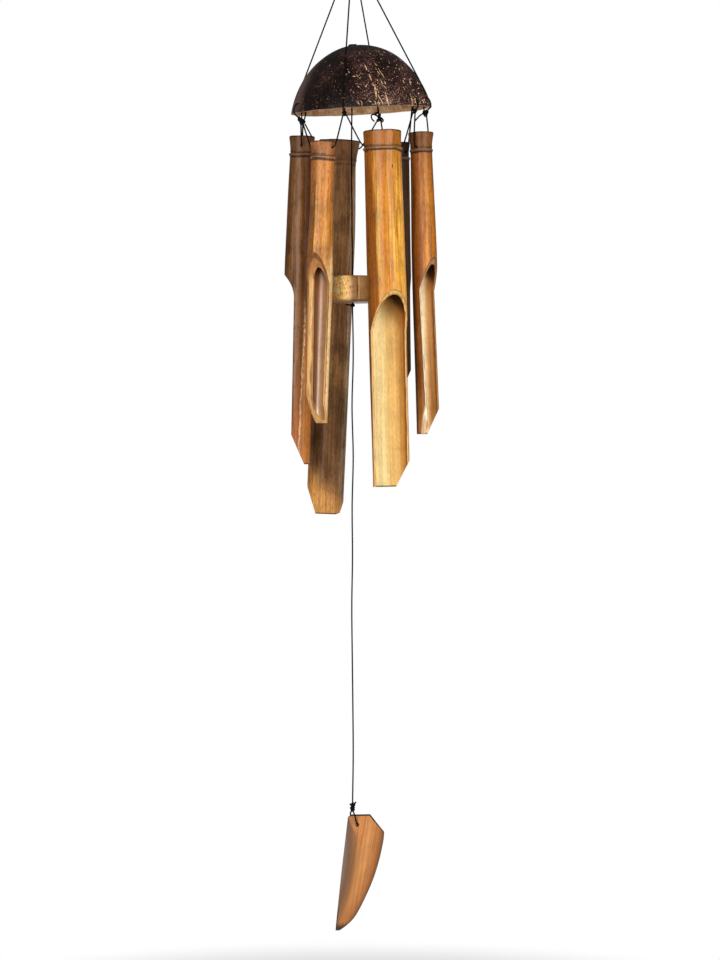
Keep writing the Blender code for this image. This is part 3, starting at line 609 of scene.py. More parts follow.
def waxed_cord():
    """Waxed cotton cord: nearly black, dull, with the diagonal lay of its twist."""
    made, tree = finish("waxed_cotton_cord")
    place = add(tree, "TexCoord", out="Object")
    # The lay repeats every 1.6 mm, drawn a little coarser than the real one so that it shows.
    twist = {"Vector": place, "Scale": 196.0, "Distortion": 0.6, "Detail": 1.0}
    lay = add(tree, "TexWave", twist, "Fac", wave_type="BANDS", bands_direction="DIAGONAL")
    fluff = add(tree, "TexNoise", {"Vector": place, "Scale": 1500.0, "Detail": 2.0})
    tone = add(tree, "Mix", {0: lay, 6: linear("040404"), 7: colours().cord}, 2, data_type="RGBA")
    rough = add(tree, "MapRange", (fluff, 0.0, 1.0, 0.6, 0.8))
    return surface(made, tone, rough, 0.12, [(0.6, 0.0003, lay)])


def culm_place(tree, placed, heading):
    """A culm's own coordinates, height, and side as a share from 0 at the back to 0.5 at the front."""
    local = own_place(tree, placed)
    x, y, height = add(tree, "SeparateXYZ", (local,), None)
    turn = add(tree, "Math", (y, x), operation="ARCTAN2")
    back = (math.degrees(heading) + 270.0) / 360.0
    share = add(tree, "Math", (turn, 1 / math.tau, back), operation="MULTIPLY_ADD")
    return local, height, add(tree, "Math", (share,), operation="FRACT")


def cut_edge(tree, tube, look, heading, local, height, worn):
    """How far a place on a tube is from the edges of its tongue, made a little ragged."""
    facing = math.radians(tube.cut_facing_deg) - heading
    across = (math.cos(facing), math.sin(facing), 0.0)
    out = add(tree, "VectorMath", (local, across), "Value", operation="DOT_PRODUCT")
    arch = -tube.cut_drop - (look.straight_run or tube.cut_run)
    ends = (arch, -tube.foot_drop, tube.cut_top_offset, tube.cut_foot_offset)
    off = apart(tree, out, add(tree, "MapRange", (height, *ends)))
    above = add(tree, "Math", (height, arch), operation="SUBTRACT")
    above = add(tree, "Math", (above, 0.0), operation="MAXIMUM")
    off = add(tree, "Math", (off, above), operation="ADD")
    return add(tree, "Math", (worn, 0.002, off), operation="MULTIPLY_ADD")


def bamboo_skin(name, tube, look, placed, heading):
    """Smoked bamboo culm: a waxy skin over straight fibres, streaked along, with a dull ridge at the node."""
    made, tree = finish(name)
    local, height, side = culm_place(tree, placed, heading)
    streak = fibres(tree, local, 0.0016, 40.0)
    line = fibres(tree, local, 0.0005, 90.0, 2.0)
    blotch = fibres(tree, local, 0.0045, 7.0, 4.0)
    grain = fibres(tree, local, 0.0011, 3.0, 4.0)
    patch = add(tree, "TexNoise", {"Vector": local, "Scale": 55.0, "Detail": 4.0})
    sway = add(tree, "MapRange", (streak, *NOISE_RANGE, -0.02, 0.02))
    swayed = add(tree, "Math", (side, sway), operation="ADD")
    # The colours round the culm hold painted highlights, and painted shade on the sides that the lamps miss.
    tone = add(tree, "ValToRGB", (swayed,), stops=round_stops(look.sides))
    top, ring, arch, foot = tube.cup_height, -tube.ring_drop, -tube.cut_drop, -tube.foot_drop
    tone = coats(
        tree, tone,
        (height, ring - 0.045, ring - 0.003, 0.6, look.shoulder),
        (blotch, 0.48, 0.64, 0.6, look.stain),
    )
    if look.painted_shadow_drop:
        # Painted shadow of the tubes in front darkens the lower part: it fades in over 60 mm, and the foot's
        # colour is laid over it lower down.
        tone = coats(tree, tone, (height, 0.06 - look.painted_shadow_drop, -look.painted_shadow_drop, 0.6, "4a2e18"))
    skewed = add(tree, "Math", (side, look.foot_skew, height), operation="MULTIPLY_ADD")
    middle = 0.5 * look.foot_skew
    tone = coats(tree, tone, (skewed, middle - look.foot_from, middle - look.foot_to, 0.8, look.foot))
    if look.band:
        # Below the arch a band beside the tongue has a colour of its own: on the second tube pale, partly
        # pared wood and partly a painted highlight, and on the sixth dark, as painted shade.
        above = add(tree, "MapRange", (height, arch - 0.030, arch + 0.015, 0.0, 0.12))
        off = add(tree, "Math", (apart(tree, side, look.band_side), above), operation="ADD")
        tone = coats(tree, tone, (off, 0.14, 0.04, 0.9, look.band))
    if look.slot == "bamboo_brown":
        tone = peeled(tree, tube, side, height, (patch, grain), tone)
    tone = coats(tree, tone, (height, ring + 0.0006, ring + 0.003, 0.7, look.cup))
    tone = shades(
        tree, tone,
        (0.7, streak, (0.28, 0.50), (0.5, 0.98), (0.72, 1.30)),
        (min(1.0, 0.75 * look.mottle), patch, (0.3, 0.66), (0.5, 1.0), (0.7, 1.15)),
        (0.45, line, (0.32, 0.60), (0.45, 1.0)),
        (min(1.0, 0.6 * look.mottle), grain, (0.30, 0.60), (0.5, 1.0), (0.68, 1.20)),
    )
    wavy = height
    for pattern, most in ((grain, 0.0005), (patch, 0.0009)):
        wander = add(tree, "MapRange", (pattern, *NOISE_RANGE, -most, most))
        wavy = add(tree, "Math", (wavy, wander), operation="ADD")
    for from_ring, near, far, most, code in RING_LINES:
        tone = coats(tree, tone, (apart(tree, wavy, ring + from_ring), far, near, most * look.ridge, code))
    tone = coats(
        tree, tone,
        (height, top - 0.0018, top - 0.0004, 0.75, "24140c"),
        (cut_edge(tree, tube, look, heading, local, height, grain), look.edge, look.edge / 2, 0.7, "3a200c"),
        (height, foot + 0.0014, foot + 0.0005, 0.8, "2a160a"),
    )
    for spot in look.spots:
        scale = (math.tau * tube.belly_radius / spot.wide, 1.0 / spot.tall, 0.0)
        far = add(tree, "CombineXYZ", (side, height))
        far = add(tree, "VectorMath", (far, (spot.side, spot.height, 0.0)), operation="SUBTRACT")
        far = add(tree, "VectorMath", (far, scale), operation="MULTIPLY")
        far = add(tree, "VectorMath", (far,), "Value", operation="LENGTH")
        tone = coats(tree, tone, (far, 0.6, 0.35, 0.85, "1c0f08"))
    rough = add(tree, "MapRange", (grain, *NOISE_RANGE, 0.24, 0.42))
    relief = ((0.25, 0.0002, line), (0.3, 0.0004, grain), (0.2, 0.0006, streak))
    return surface(made, tone, rough, look.gloss, relief)


def peeled(tree, tube, side, height, patterns, tone):
    """The pale ragged edge where a strip of skin came off, and orange right of it as painted light, where the
    right side is lit below the painted shadow higher up.
    """
    edge = add(tree, "MapRange", (height, PEEL_TOP[1], PEEL_FOOT[1], PEEL_TOP[0], PEEL_FOOT[0]))
    for pattern in patterns:
        ragged = add(tree, "MapRange", (pattern, *NOISE_RANGE, -0.012, 0.012))
        edge = add(tree, "Math", (edge, ragged), operation="ADD")
    past = add(tree, "Math", (side, edge), operation="SUBTRACT")
    half = PEEL_WIDTH / 2 / (math.tau * tube.cut_radius)
    overlay_tone = coats(
        tree, tone,
        (past, 0.0, 0.015, 0.85, "bc7638"),
        (apart(tree, side, edge), 1.4 * half, 0.4 * half, 0.8, "d8b48c"),
    )
    below = add(tree, "MapRange", (height, PEEL_TOP[1], PEEL_TOP[1] - 0.03))
    return add(tree, "Mix", {0: below, 6: tone, 7: overlay_tone}, 2, data_type="RGBA")


def bamboo_inside(name, tube, look, placed, heading):
    """Inner wall of a split culm: soft pith over straight fibres, satin, streaked, with painted shade inside
    the bore.
    """
    made, tree = finish(name)
    local, height, side = culm_place(tree, placed, heading)
    streak = fibres(tree, local, 0.0022, 30.0)
    line = fibres(tree, local, 0.0006, 60.0, 2.0)
    grain = fibres(tree, local, 0.0011, 3.0, 4.0)
    patch = add(tree, "TexNoise", {"Vector": local, "Scale": 70.0, "Detail": 4.0})
    # The colours round the bore hold painted light: one side lit pale, the other in painted shade, with
    # painted highlight stripes.
    tone = shades(
        tree, add(tree, "ValToRGB", (side,), stops=round_stops(look.inside)),
        (0.6, streak, (0.3, 0.68), (0.5, 1.0), (0.7, 1.20)),
        (0.4, patch, (0.35, 0.75), (0.6, 1.10)),
        (0.3, line, (0.32, 0.68), (0.48, 1.0)),
        (0.5, grain, (0.30, 0.70), (0.5, 1.0), (0.68, 1.15)),
    )
    # The light comes in from the left, so the shade under the arch reaches further down on the right.
    right = (math.cos(heading), -math.sin(heading), 0.0)
    across = add(tree, "VectorMath", (local, right), "Value", operation="DOT_PRODUCT")
    shaded = add(tree, "Math", (across, 1.1, height), operation="MULTIPLY_ADD")
    arch, foot, shade = -tube.cut_drop, -tube.foot_drop, look.shade
    tone = coats(
        tree, tone,
        (cut_edge(tree, tube, look, heading, local, height, grain), 0.0036, 0.0018, 0.75, "6b3f18"),
        (height, foot + 0.0016, foot + 0.0006, 0.8, "2a160a"),
        (shaded, arch - 2.6 * shade, arch - 0.6 * shade, 0.5, "8e4c1a"),
        (shaded, arch - shade, arch - shade + 0.010, 0.9, "2c1408"),
    )
    return surface(made, tone, 0.42, 0.18, ((0.4, 0.0004, line), (0.3, 0.0004, grain)))


def bamboo_sawn(name, tube, look, placed, heading):
    """Sawn bamboo wall: pale where it split along, browner at the arch, with fibre ends 0.8 mm apart."""
    made, tree = finish(name)
    local, height, side = culm_place(tree, placed, heading)
    drawn = add(tree, "Mapping", {"Vector": local, "Scale": (1.0, 1.0, 0.12)})
    bundle = add(tree, "TexVoronoi", {"Vector": drawn, "Scale": 1250.0})
    worn = fibres(tree, local, 0.0022, 6.0, 4.0)
    ends = [(0.55, linear(look.sawn)), (0.7, linear(look.sawn_right or look.sawn))]
    level = add(tree, "Mapping", {"Vector": local, "Scale": (1.0, 1.0, 0.0)})
    out = add(tree, "VectorMath", (level,), "Value", operation="LENGTH")
    chipped = add(tree, "Math", (worn, 0.003, out), operation="MULTIPLY_ADD")
    skin = min(tube.cut_radius, tube.foot_radius) + 0.0015
    bore = skin - tube.wall + look.bore_grow
    arch, foot = -tube.cut_drop, -tube.foot_drop
    tone = coats(
        tree, add(tree, "ValToRGB", (side,), stops=ends),
        (height, arch - 0.030, arch - 0.012, 0.85, look.arch),
        (chipped, skin - 0.0008, skin - 0.0001, 0.7, "5a3414"),
        (chipped, bore + 0.0007, bore + 0.0001, 0.6, "6b3f18"),
        (height, foot + 0.020, foot + 0.006, 0.6, look.foot),
    )
    tone = shades(
        tree, tone,
        (0.7, worn, (0.36, 0.5), (0.5, 0.98), (0.65, 1.10)),
        (0.5, bundle, (0.05, 0.6), (0.22, 1.0)),
    )
    return surface(made, tone, 0.6, 0.2, [(0.6, 0.0003, worn)])


def shell_place(tree):
    """The shell's own coordinates, their parts, and a flat layout: round the rim, and up drawn short."""
    local = own_place(tree, SHELL_FRAME)
    x, y, z = add(tree, "SeparateXYZ", (local,), None)
    turn = add(tree, "Math", (y, x), operation="ARCTAN2")
    flat = add(tree, "CombineXYZ", (turn, z))
    flat = add(tree, "VectorMath", (flat, (SHELL_RIM_RADIUS, 0.4, 0.0)), operation="MULTIPLY")
    return local, (x, y, z), flat


def coconut_shell():
    """Polished coconut shell: nearly black brown, glossy, flecked with gold, with a painted sheen along its
    left silhouette.
    """
    made, tree = finish("polished_coconut_shell")
    local, (x, y, z), flat = shell_place(tree)
    cloud = add(tree, "TexNoise", {"Vector": local, "Scale": 45.0, "Detail": 5.0, "Roughness": 0.6})
    # Pores and fibre stubs are about 0.9 mm across, flecks 1.2 mm and two or three times as long.
    stub = add(tree, "TexNoise", {"Vector": local, "Scale": 1100.0, "Detail": 3.0, "Roughness": 0.6})
    fleck = add(tree, "TexNoise", {"Vector": flat, "Scale": 700.0, "Detail": 3.0, "Roughness": 0.55})
    # There are more of both on the right and near the rim.
    lift = cloud
    for value, low, high, most in ((x, -0.03, 0.03, 0.10), (z, 0.016, 0.0, 0.07)):
        more = add(tree, "MapRange", (value, low, high, 0.0, most), interpolation_type="SMOOTHSTEP")
        lift = add(tree, "Math", (lift, more), operation="ADD")
    lift = add(tree, "Math", (lift, 0.35, -0.18), operation="MULTIPLY_ADD")
    fleck = add(tree, "Math", (fleck, lift), operation="ADD")
    stub = add(tree, "Math", (stub, lift), operation="ADD")
    # A painted sheen lies along the shell's left silhouette.
    facing = add(tree, "Math", (y,), operation="ABSOLUTE")
    leftward = add(tree, "Math", (facing, x), operation="ADD")
    left_rim_sheen = add(tree, "Math", (cloud, -0.02, leftward), operation="MULTIPLY_ADD")
    stops = [(0.3, linear("0d0708")), (0.5, colours().shell_dark), (0.7, linear("2a1518"))]
    tone = coats(
        tree, add(tree, "ValToRGB", (cloud,), stops=stops),
        (x, 0.0, -0.035, 0.65, "0c0504"),
        (x, 0.005, 0.05, 0.5, "321a1a"),
        (fleck, 0.59, 0.72, 0.5, "6c443c"),
        (stub, 0.57, 0.68, 0.5, "8c6358"),
        (stub, 0.68, 0.74, 0.8, "dcb490"),
        (x, 0.0, -0.03, 0.28, "0a0606"),
        (left_rim_sheen, -0.022, -0.042, 0.65, "7e6054"),
    )
    tone = shades(tree, tone, (0.7, stub, (0.30, 0.45), (0.46, 1.0)))
    rough = add(tree, "MapRange", (fleck, 0.4, 0.75, 0.32, 0.55))
    polish = {"IOR": 1.5, "Coat Weight": 0.03, "Coat Roughness": 0.3}
    fill(tree, tree.nodes["Principled BSDF"], polish)
    return surface(made, tone, rough, 0.2, ((0.4, 0.0006, fleck), (0.3, 0.0004, stub)))


def coconut_inside():
    """Scraped inner wall and sawn rim of the shell: pale tan, mottled, matt."""
    made, tree = finish("scraped_coconut_shell")
    local, _, flat = shell_place(tree)
    cloud = add(tree, "TexNoise", {"Vector": local, "Scale": 130.0, "Detail": 5.0, "Roughness": 0.65})
    scrape = add(tree, "TexNoise", {"Vector": flat, "Scale": 420.0, "Detail": 3.0})
    stops = [(0.3, linear("99673f")), (0.5, colours().shell_inside), (0.7, linear("ffdcae"))]
    tone = add(tree, "ValToRGB", (cloud,), stops=stops)
    tone = shades(tree, tone, (0.6, scrape, (0.35, 0.6), (0.6, 1.1)))
    return surface(made, tone, 0.7, relief=[(0.5, 0.0005, cloud)])


def husk_fibre():
    """Dry coconut husk fibre: pale gold, dull, finely lined."""
    made, tree = finish("coconut_husk_fibre")
    place = add(tree, "TexCoord", out="Object")
    grain = add(tree, "TexNoise", {"Vector": place, "Scale": 700.0, "Detail": 3.0})
    stops = [(0.35, linear("7a4e30")), (0.58, colours().shell_fibre)]
    return surface(made, add(tree, "ValToRGB", (grain,), stops=stops), 0.6)


def palm_wood():
    """Turned palm wood: tan, with short dark strands 1 mm wide, and a painted highlight pale on the left of
    the front.
    """
    made, tree = finish("turned_palm_wood")
    place = add(tree, "TexCoord", out="Object")
    strand = fibres(tree, place, 0.0011, 2.2, 4.0)
    cloud = add(tree, "TexNoise", {"Vector": place, "Scale": 150.0, "Detail": 5.0})
    x, _, z = add(tree, "SeparateXYZ", (place,), None)
    stops = [(0.3, linear("f0a050")), (0.5, colours().clapper), (0.68, linear("ffdc96"))]
    tone = add(tree, "ValToRGB", (cloud,), stops=stops)
    # A pale scar runs down the right of the front.
    beside = add(tree, "Math", (strand, 0.0012, x), operation="MULTIPLY_ADD")
    scar = add(tree, "Math", (beside, 0.0059, 0.0008), operation="COMPARE")
    low = CLAPPER_TOP_Z - CLAPPER_THICKNESS
    # The pale tone, lifted further by the strands' shade, is a painted highlight; the wood browns to its left
    # and right, where the highlight falls off.
    tone = coats(
        tree, shades(tree, tone, (1.0, strand, (0.36, 0.55), (0.48, 1.3), (0.62, 1.6))),
        (x, -0.0100, -0.0165, 0.4, "c88848"),
        (x, -0.0045, 0.0010, 0.8, "a06c3e"),
        (scar, 0.2, 0.8, 0.6, "f0c094"),
        (z, low + 0.15 * CLAPPER_THICKNESS, low + 0.03 * CLAPPER_THICKNESS, 0.7, "54361f"),
    )
    return surface(made, tone, 0.33, 0.4, ((0.6, 0.0006, strand), (0.4, 0.001, cloud)))


def sail_skin(name, light, main, dark, rough):
    """Split bamboo, planed: fine fibres along the blade, satin, browned along its rounded edge as painted
    shade, and scorched along its edge and at its tip.
    """
    made, tree = finish(name)
    local = own_place(tree, SAIL_FRAME)
    streak = fibres(tree, local, 0.0018, 30.0)
    line = fibres(tree, local, 0.0005, 70.0, 2.0)
    cloud = add(tree, "TexNoise", {"Vector": local, "Scale": 80.0, "Detail": 4.0})
    grain = add(tree, "TexNoise", {"Vector": local, "Scale": 900.0, "Detail": 3.0})
    stops = [(0.3, linear(dark)), (0.5, main), (0.72, linear(light))]
    tone = shades(
        tree, add(tree, "ValToRGB", (streak,), stops=stops),
        (0.6, cloud, (0.35, 0.82), (0.6, 1.06)),
        (0.4, line, (0.32, 0.75), (0.48, 1.0)),
        (0.4, grain, (0.3, 0.75), (0.6, 1.08)),
    )
    place = add(tree, "TexCoord", out="Object")
    level = add(tree, "Mapping", {"Vector": place, "Scale": (1.0, 0.0, 1.0)})
    _, _, height = add(tree, "SeparateXYZ", (place,), None)
    if name == "split_bamboo_face":
        tone = planed_side(tree, level, tone)
    out = add(tree, "VectorMath", (level, SAIL_HOLE + SAIL_ARC_CENTRE), "Value", operation="DISTANCE")
    tip = SAIL_HOLE.z + min(z for _, z in SAIL_OUTLINE)
    # Toward the rounded edge the face browns as painted shade where it turns from the light, then darkens to
    # a thin line at the edge; the tip is dark.
    tone = coats(
        tree, tone,
        (out, SAIL_ARC_RADIUS - 0.0125, SAIL_ARC_RADIUS - 0.002, 0.6, "965824"),
        (out, SAIL_ARC_RADIUS - 0.004, SAIL_ARC_RADIUS - 0.0005, 0.6, "5a3618"),
        (height, tip + 0.008, tip + 0.002, 0.9, "1c0f08"),
    )
    return surface(made, tone, rough, 0.3, [(0.3, 0.0003, line)])


def planed_side(tree, level, tone):
    """Where the plane ran along the left of the blade: grey brown, browner up to the ridge, and partly
    painted shade where that side turns from the light.
    """
    past = add(tree, "VectorMath", (level, SAIL_HOLE + SAIL_RIDGE_CENTRE), "Value", operation="DISTANCE")
    start = add(tree, "VectorMath", (level, SAIL_HOLE + SAIL_PLANE_START), operation="SUBTRACT")
    below = add(tree, "VectorMath", (start, SAIL_PLANE_RUN), "Value", operation="DOT_PRODUCT")
    ridge = SAIL_RIDGE_RADIUS
    overlay_tone = coats(
        tree, tone,
        (past, ridge + 0.007, ridge + 0.001, 0.7, "b0763f"),
        (past, ridge + 0.0024, ridge - 0.0014, 0.85, "84562f"),
        (past, ridge - 0.001, ridge - 0.005, 0.85, "6c4a32"),
        (past, ridge - 0.006, ridge - 0.010, 0.85, "7c685a"),
    )
    share = add(tree, "MapRange", (below, -0.0028, 0.0004), interpolation_type="SMOOTHSTEP")
    return add(tree, "Mix", {0: share, 6: tone, 7: overlay_tone}, 2, data_type="RGBA")


# Shapes

# Points closer than these are one: on the seam of a turned shape, and beside a cut
SEAM = 0.00001
SLIVER = 0.00012
# Steps round a knot's path, and round one turn of a winding
KNOT_STEPS = 36
COIL_STEPS = 14


def smooth(route, step, least=1):
    """Points about one step apart on a smooth curve through the route's own points."""
    route = [Vector(point) for point in route]
    ahead = route[1:] + [route[-1]]
    behind = [route[0]] + route[:-1]
    heading = [(b - a).normalized() for a, b in zip(behind, ahead)]
    points = []
    for i in range(len(route) - 1):
        start, end = route[i], route[i + 1]
        reach = (end - start).length / 3
        count = max(least, round(3 * reach / step))
        handles = (start + heading[i] * reach, end - heading[i + 1] * reach)
        points += interpolate_bezier(start, *handles, end, count + 1)[:-1]
    return points + [route[-1]]


def flat_curve(points, step):
    """A smooth curve through (x, z) points, as such points."""
    return [(point.x, point.z) for point in smooth([(x, 0.0, z) for x, z in points], step)]


def plan(angle_deg, radius, height):
    angle = math.radians(angle_deg)
    return Vector((radius * math.cos(angle), radius * math.sin(angle), height))


def in_plan(point):
    return Vector((point.x, point.y, 0.0))


def lump(point, scale, amount):
    """A smooth uneven offset at a point, for shapes that grew."""
    return amount * noise.noise(point * scale)


def turned(bm, profile, steps):
    """A profile of (radius, height) points turned about Z."""
    verts = [bm.verts.new((radius, 0.0, height)) for radius, height in profile]
    edges = [bm.edges.new(pair) for pair in zip(verts, verts[1:])]
    bmesh.ops.spin(
        bm, geom=verts + edges, cent=(0.0, 0.0, 0.0), axis=(0.0, 0.0, 1.0), angle=math.tau, steps=steps,
        use_merge=True,
    )
    bmesh.ops.remove_doubles(bm, verts=bm.verts, dist=SEAM)
    bmesh.ops.recalc_face_normals(bm, faces=bm.faces)


def prism(bm, outline, half_depth):
    """An outline of (x, z) points made solid from -half_depth to half_depth along Y."""
    face = bm.faces.new([bm.verts.new((x, -half_depth, z)) for x, z in outline])
    grown = bmesh.ops.extrude_face_region(bm, geom=[face])["geom"]
    moved = [part for part in grown if isinstance(part, bmesh.types.BMVert)]
    bmesh.ops.translate(bm, verts=moved, vec=(0.0, 2 * half_depth, 0.0))
    bmesh.ops.recalc_face_normals(bm, faces=bm.faces)


def drill(bm, radius, length):
    """A round cutter along X."""
    bmesh.ops.create_cone(
        bm, cap_ends=True, segments=20, radius1=radius, radius2=radius, depth=length,
        matrix=Matrix.Rotation(math.pi / 2, 4, "Y"),
    )


def piece_from(name, bm, materials):
    """An object at the origin from a bmesh that is already in place."""
    data = bpy.data.meshes.new(name)
    bm.to_mesh(data)
    bm.free()
    for material in materials:
        data.materials.append(material)
    obj = bpy.data.objects.new(name, data)
    bpy.context.scene.collection.objects.link(obj)
    return obj


def cutter(placed, material, build, *shape):
    """A solid to cut with, made by a function and put in place."""
    bm = bmesh.new()
    build(bm, *shape)
    bmesh.ops.transform(bm, matrix=placed, verts=bm.verts)
    return piece_from("cutter", bm, [material])


def carve(obj, cuts, within=None):
    """Keeps what is within one cutter, takes the others away, and leaves the mesh plain."""
    tools = [("INTERSECT", within)] if within else []
    tools += [("DIFFERENCE", cut) for cut in cuts]
    for operation, tool in tools:
        boolean = obj.modifiers.new("cut", "BOOLEAN")
        boolean.operation = operation
        boolean.solver = "EXACT"
        boolean.material_mode = "TRANSFER"
        boolean.object = tool
    bpy.context.view_layer.update()
    graph = bpy.context.evaluated_depsgraph_get()
    data = bpy.data.meshes.new_from_object(obj.evaluated_get(graph))
    data.name = obj.name
    obj.modifiers.clear()
    obj.data = data
    for _, tool in tools:
        bpy.data.objects.remove(tool)


def shade_round(obj, sharp_deg):
    """Shades an object smooth, apart from edges sharper than an angle."""
    obj.data.shade_smooth()
    obj.data.set_sharp_from_angle(angle=math.radians(sharp_deg))


def soften(obj, width):
    """Merges the slivers of a cut, rounds its sharp edges and shades the rest smooth."""
    bm = bmesh.new()
    bm.from_mesh(obj.data)
    bmesh.ops.remove_doubles(bm, verts=bm.verts, dist=SLIVER)
    bmesh.ops.dissolve_degenerate(bm, edges=bm.edges, dist=0.00005)
    sharp = [
        edge for edge in bm.edges
        if len(edge.link_faces) == 2 and edge.calc_face_angle(0.0) > math.radians(35)
    ]
    bmesh.ops.bevel(
        bm, geom=sharp, offset=width, offset_type="OFFSET", affect="EDGES", segments=2, profile=0.5,
        material=-1, clamp_overlap=True,
    )
    bm.to_mesh(obj.data)
    bm.free()
    shade_round(obj, 40)


def dress(obj, body, slot, *nodes):
    """Puts a piece on its body and hides the nodes that it stands for. Its slot is not used."""
    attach(obj, body)
    if nodes:
        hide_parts(*nodes)
    return obj


def cord_piece(name, strands, body, *nodes):
    """A round cord through each strand of (points, closed)."""
    data = bpy.data.curves.new(name, "CURVE")
    data.dimensions = "3D"
    data.bevel_depth = cord_radius()
    data.bevel_resolution = 2
    data.use_fill_caps = True
    for points, closed in strands:
        spline = data.splines.new("POLY")
        spline.points.add(len(points) - 1)
        for slot, point in zip(spline.points, points):
            slot.co = (*point, 1.0)
        spline.use_cyclic_u = closed
        spline.use_smooth = True
    data.materials.append(bpy.data.materials.get("waxed_cotton_cord") or waxed_cord())
    obj = bpy.data.objects.new(name, data)
    bpy.context.scene.collection.objects.link(obj)
    return dress(obj, body, "waxed_cord", *nodes)


def loose_end(start, places, step=0.001):
    """An end of cord at a knot, by its places from there."""
    return smooth([start + Vector(place) for place in places], step), False


def knot_strand(centre, radius, turn=0.0, lie=0.0, tall=1.0):
    """The closed path of a pulled overhand knot."""
    scale = (radius - cord_radius()) / 3
    placed = Matrix.Translation(centre) @ Euler((lie, 0.0, turn)).to_matrix().to_4x4()
    points = []
    for i in range(KNOT_STEPS):
        t = math.tau * i / KNOT_STEPS
        x = math.sin(t) + 2 * math.sin(2 * t)
        y = -1.3 * math.sin(3 * t)
        z = math.cos(t) - 2 * math.cos(2 * t)
        points.append(placed @ (scale * Vector((x, y, tall * z))))
    return points, True


def coil_strand(top, bottom, radius, turns):
    """A cord wound round an upright line, from its top to its bottom."""
    count = COIL_STEPS * turns
    points = []
    for i in range(count + 1):
        share = i / count
        points.append(top.lerp(bottom, share) + plan(360.0 * turns * share, radius, 0.0))
    return points, False


# Where the cords run


def shell_radius(height, inset=0.0):
    """The shell's radius at a height above the rim, or that of a surface inset from it."""
    share = (height + SHELL_BELLY_DROP) / (SHELL_SEMI_HEIGHT - inset)
    return (SHELL_SEMI_WIDTH - inset) * math.sqrt(max(0.0, 1 - share * share))


def knot_centre(tie):
    return SHELL_FRAME @ plan(tie.angle_deg, tie.knot_reach, -tie.knot_drop)


def dome_normal(point):
    """The direction out of the shell at a point on it, in its own frame."""
    away = in_plan(point) / SHELL_SEMI_WIDTH**2
    away.z = (point.z + SHELL_BELLY_DROP) / SHELL_SEMI_HEIGHT**2
    return away.normalized()


def crown_point():
    """Where the plumb line leaves the top of the shell, and the shell's direction there."""
    into = SHELL_FRAME.inverted()
    low, high = SHELL_FRAME.translation.z, SHELL_FRAME.translation.z + 2 * SHELL_HEIGHT
    for _ in range(50):
        middle = (low + high) / 2
        point = into @ Vector((0.0, 0.0, middle))
        inside = (point.x**2 + point.y**2) / SHELL_SEMI_WIDTH**2
        inside += ((point.z + SHELL_BELLY_DROP) / SHELL_SEMI_HEIGHT) ** 2
        low, high = (middle, high) if inside < 1 else (low, middle)
    return Vector((0.0, 0.0, low)), SHELL_FRAME.to_3x3() @ dome_normal(point)


def suspension_route(tie):
    """A taut cord from the gather knot to the dome and down over it to the tie."""
    lift = cord_radius() + GAP
    wide, tall = SHELL_SEMI_WIDTH + lift, SHELL_SEMI_HEIGHT + lift
    apex = SHELL_FRAME.inverted() @ APEX
    across = plan(tie.angle_deg, 1.0, 0.0)
    p = apex.dot(across) / wide
    q = (apex.z + SHELL_BELLY_DROP) / tall
    touch = math.atan2(q, p) - math.acos(1 / math.hypot(p, q))
    stop = math.asin((tie.hole_height + 0.0016 + SHELL_BELLY_DROP) / tall)
    count = max(3, round((touch - stop) / math.radians(5)))
    route = []
    for i in range(count + 1):
        angle = touch + (stop - touch) * i / count
        local = across * (wide * math.cos(angle))
        local.z = tall * math.sin(angle) - SHELL_BELLY_DROP
        route.append(SHELL_FRAME @ local)
    down = route[0] - APEX
    clear = GATHER_LENGTH / 2 - 0.002
    return [APEX + down * (clear / -down.z), APEX + down * 0.5] + route


def hitch_route(tie):
    """A loop through the rim hole, over the edge on both sides of the wall and down to the knot."""
    lift = cord_radius() + GAP
    top = tie.hole_height
    knot_top = -tie.knot_drop + 0.4 * KNOT_RADIUS
    section = (
        (shell_radius(top) - SHELL_WALL / 2, top),
        (shell_radius(top) + 0.6 * lift, top - 0.0002),
        (shell_radius(top - 0.002) + 1.2 * lift + 0.7 * tie.bow, top - 0.002),
        (shell_radius(0.002) + 1.2 * lift + tie.bow, 0.002),
        (SHELL_RIM_RADIUS + 0.9 * lift + 0.5 * tie.bow, -1.2 * lift),
        (tie.knot_reach + lift, knot_top + 0.4 * lift),
        (tie.knot_reach, knot_top),
        (tie.knot_reach - lift, knot_top + 0.4 * lift),
        (shell_radius(0.0, SHELL_WALL) - lift, -lift),
        (shell_radius(0.002, SHELL_WALL) - 1.2 * lift, 0.002),
        (shell_radius(top - 0.002, SHELL_WALL) - 1.2 * lift, top - 0.002),
        (shell_radius(top, SHELL_WALL) - 0.6 * lift, top - 0.0003),
    )
    return [SHELL_FRAME @ plan(tie.angle_deg, radius, height) for radius, height in section]


def stitch_route(tie):
    """From a knot inside the shell out through one hole, and back to it through the next."""
    lift = cord_radius() + GAP
    wide = STITCH_WIDTH / 2
    top = tie.hole_height
    inside = shell_radius(top, SHELL_WALL)
    outside = shell_radius(top)
    knot = knot_centre(tie)
    route = []
    for sign in (-1, 1):
        steps = ((0.3, outside + 1.1 * lift), (0.75, outside + 0.8 * lift), (1.0, outside - 0.0006))
        steps += ((1.0, inside), (0.9, inside - 0.0012))
        turn = []
        for across, radius in steps:
            angle = tie.angle_deg + sign * math.degrees(across * wide / radius)
            turn.append(SHELL_FRAME @ plan(angle, radius, top))
        turn.append(knot + (turn[-1] - knot).normalized() * (0.5 * KNOT_RADIUS))
        route = turn[::-1] if sign < 0 else route + turn
    return route


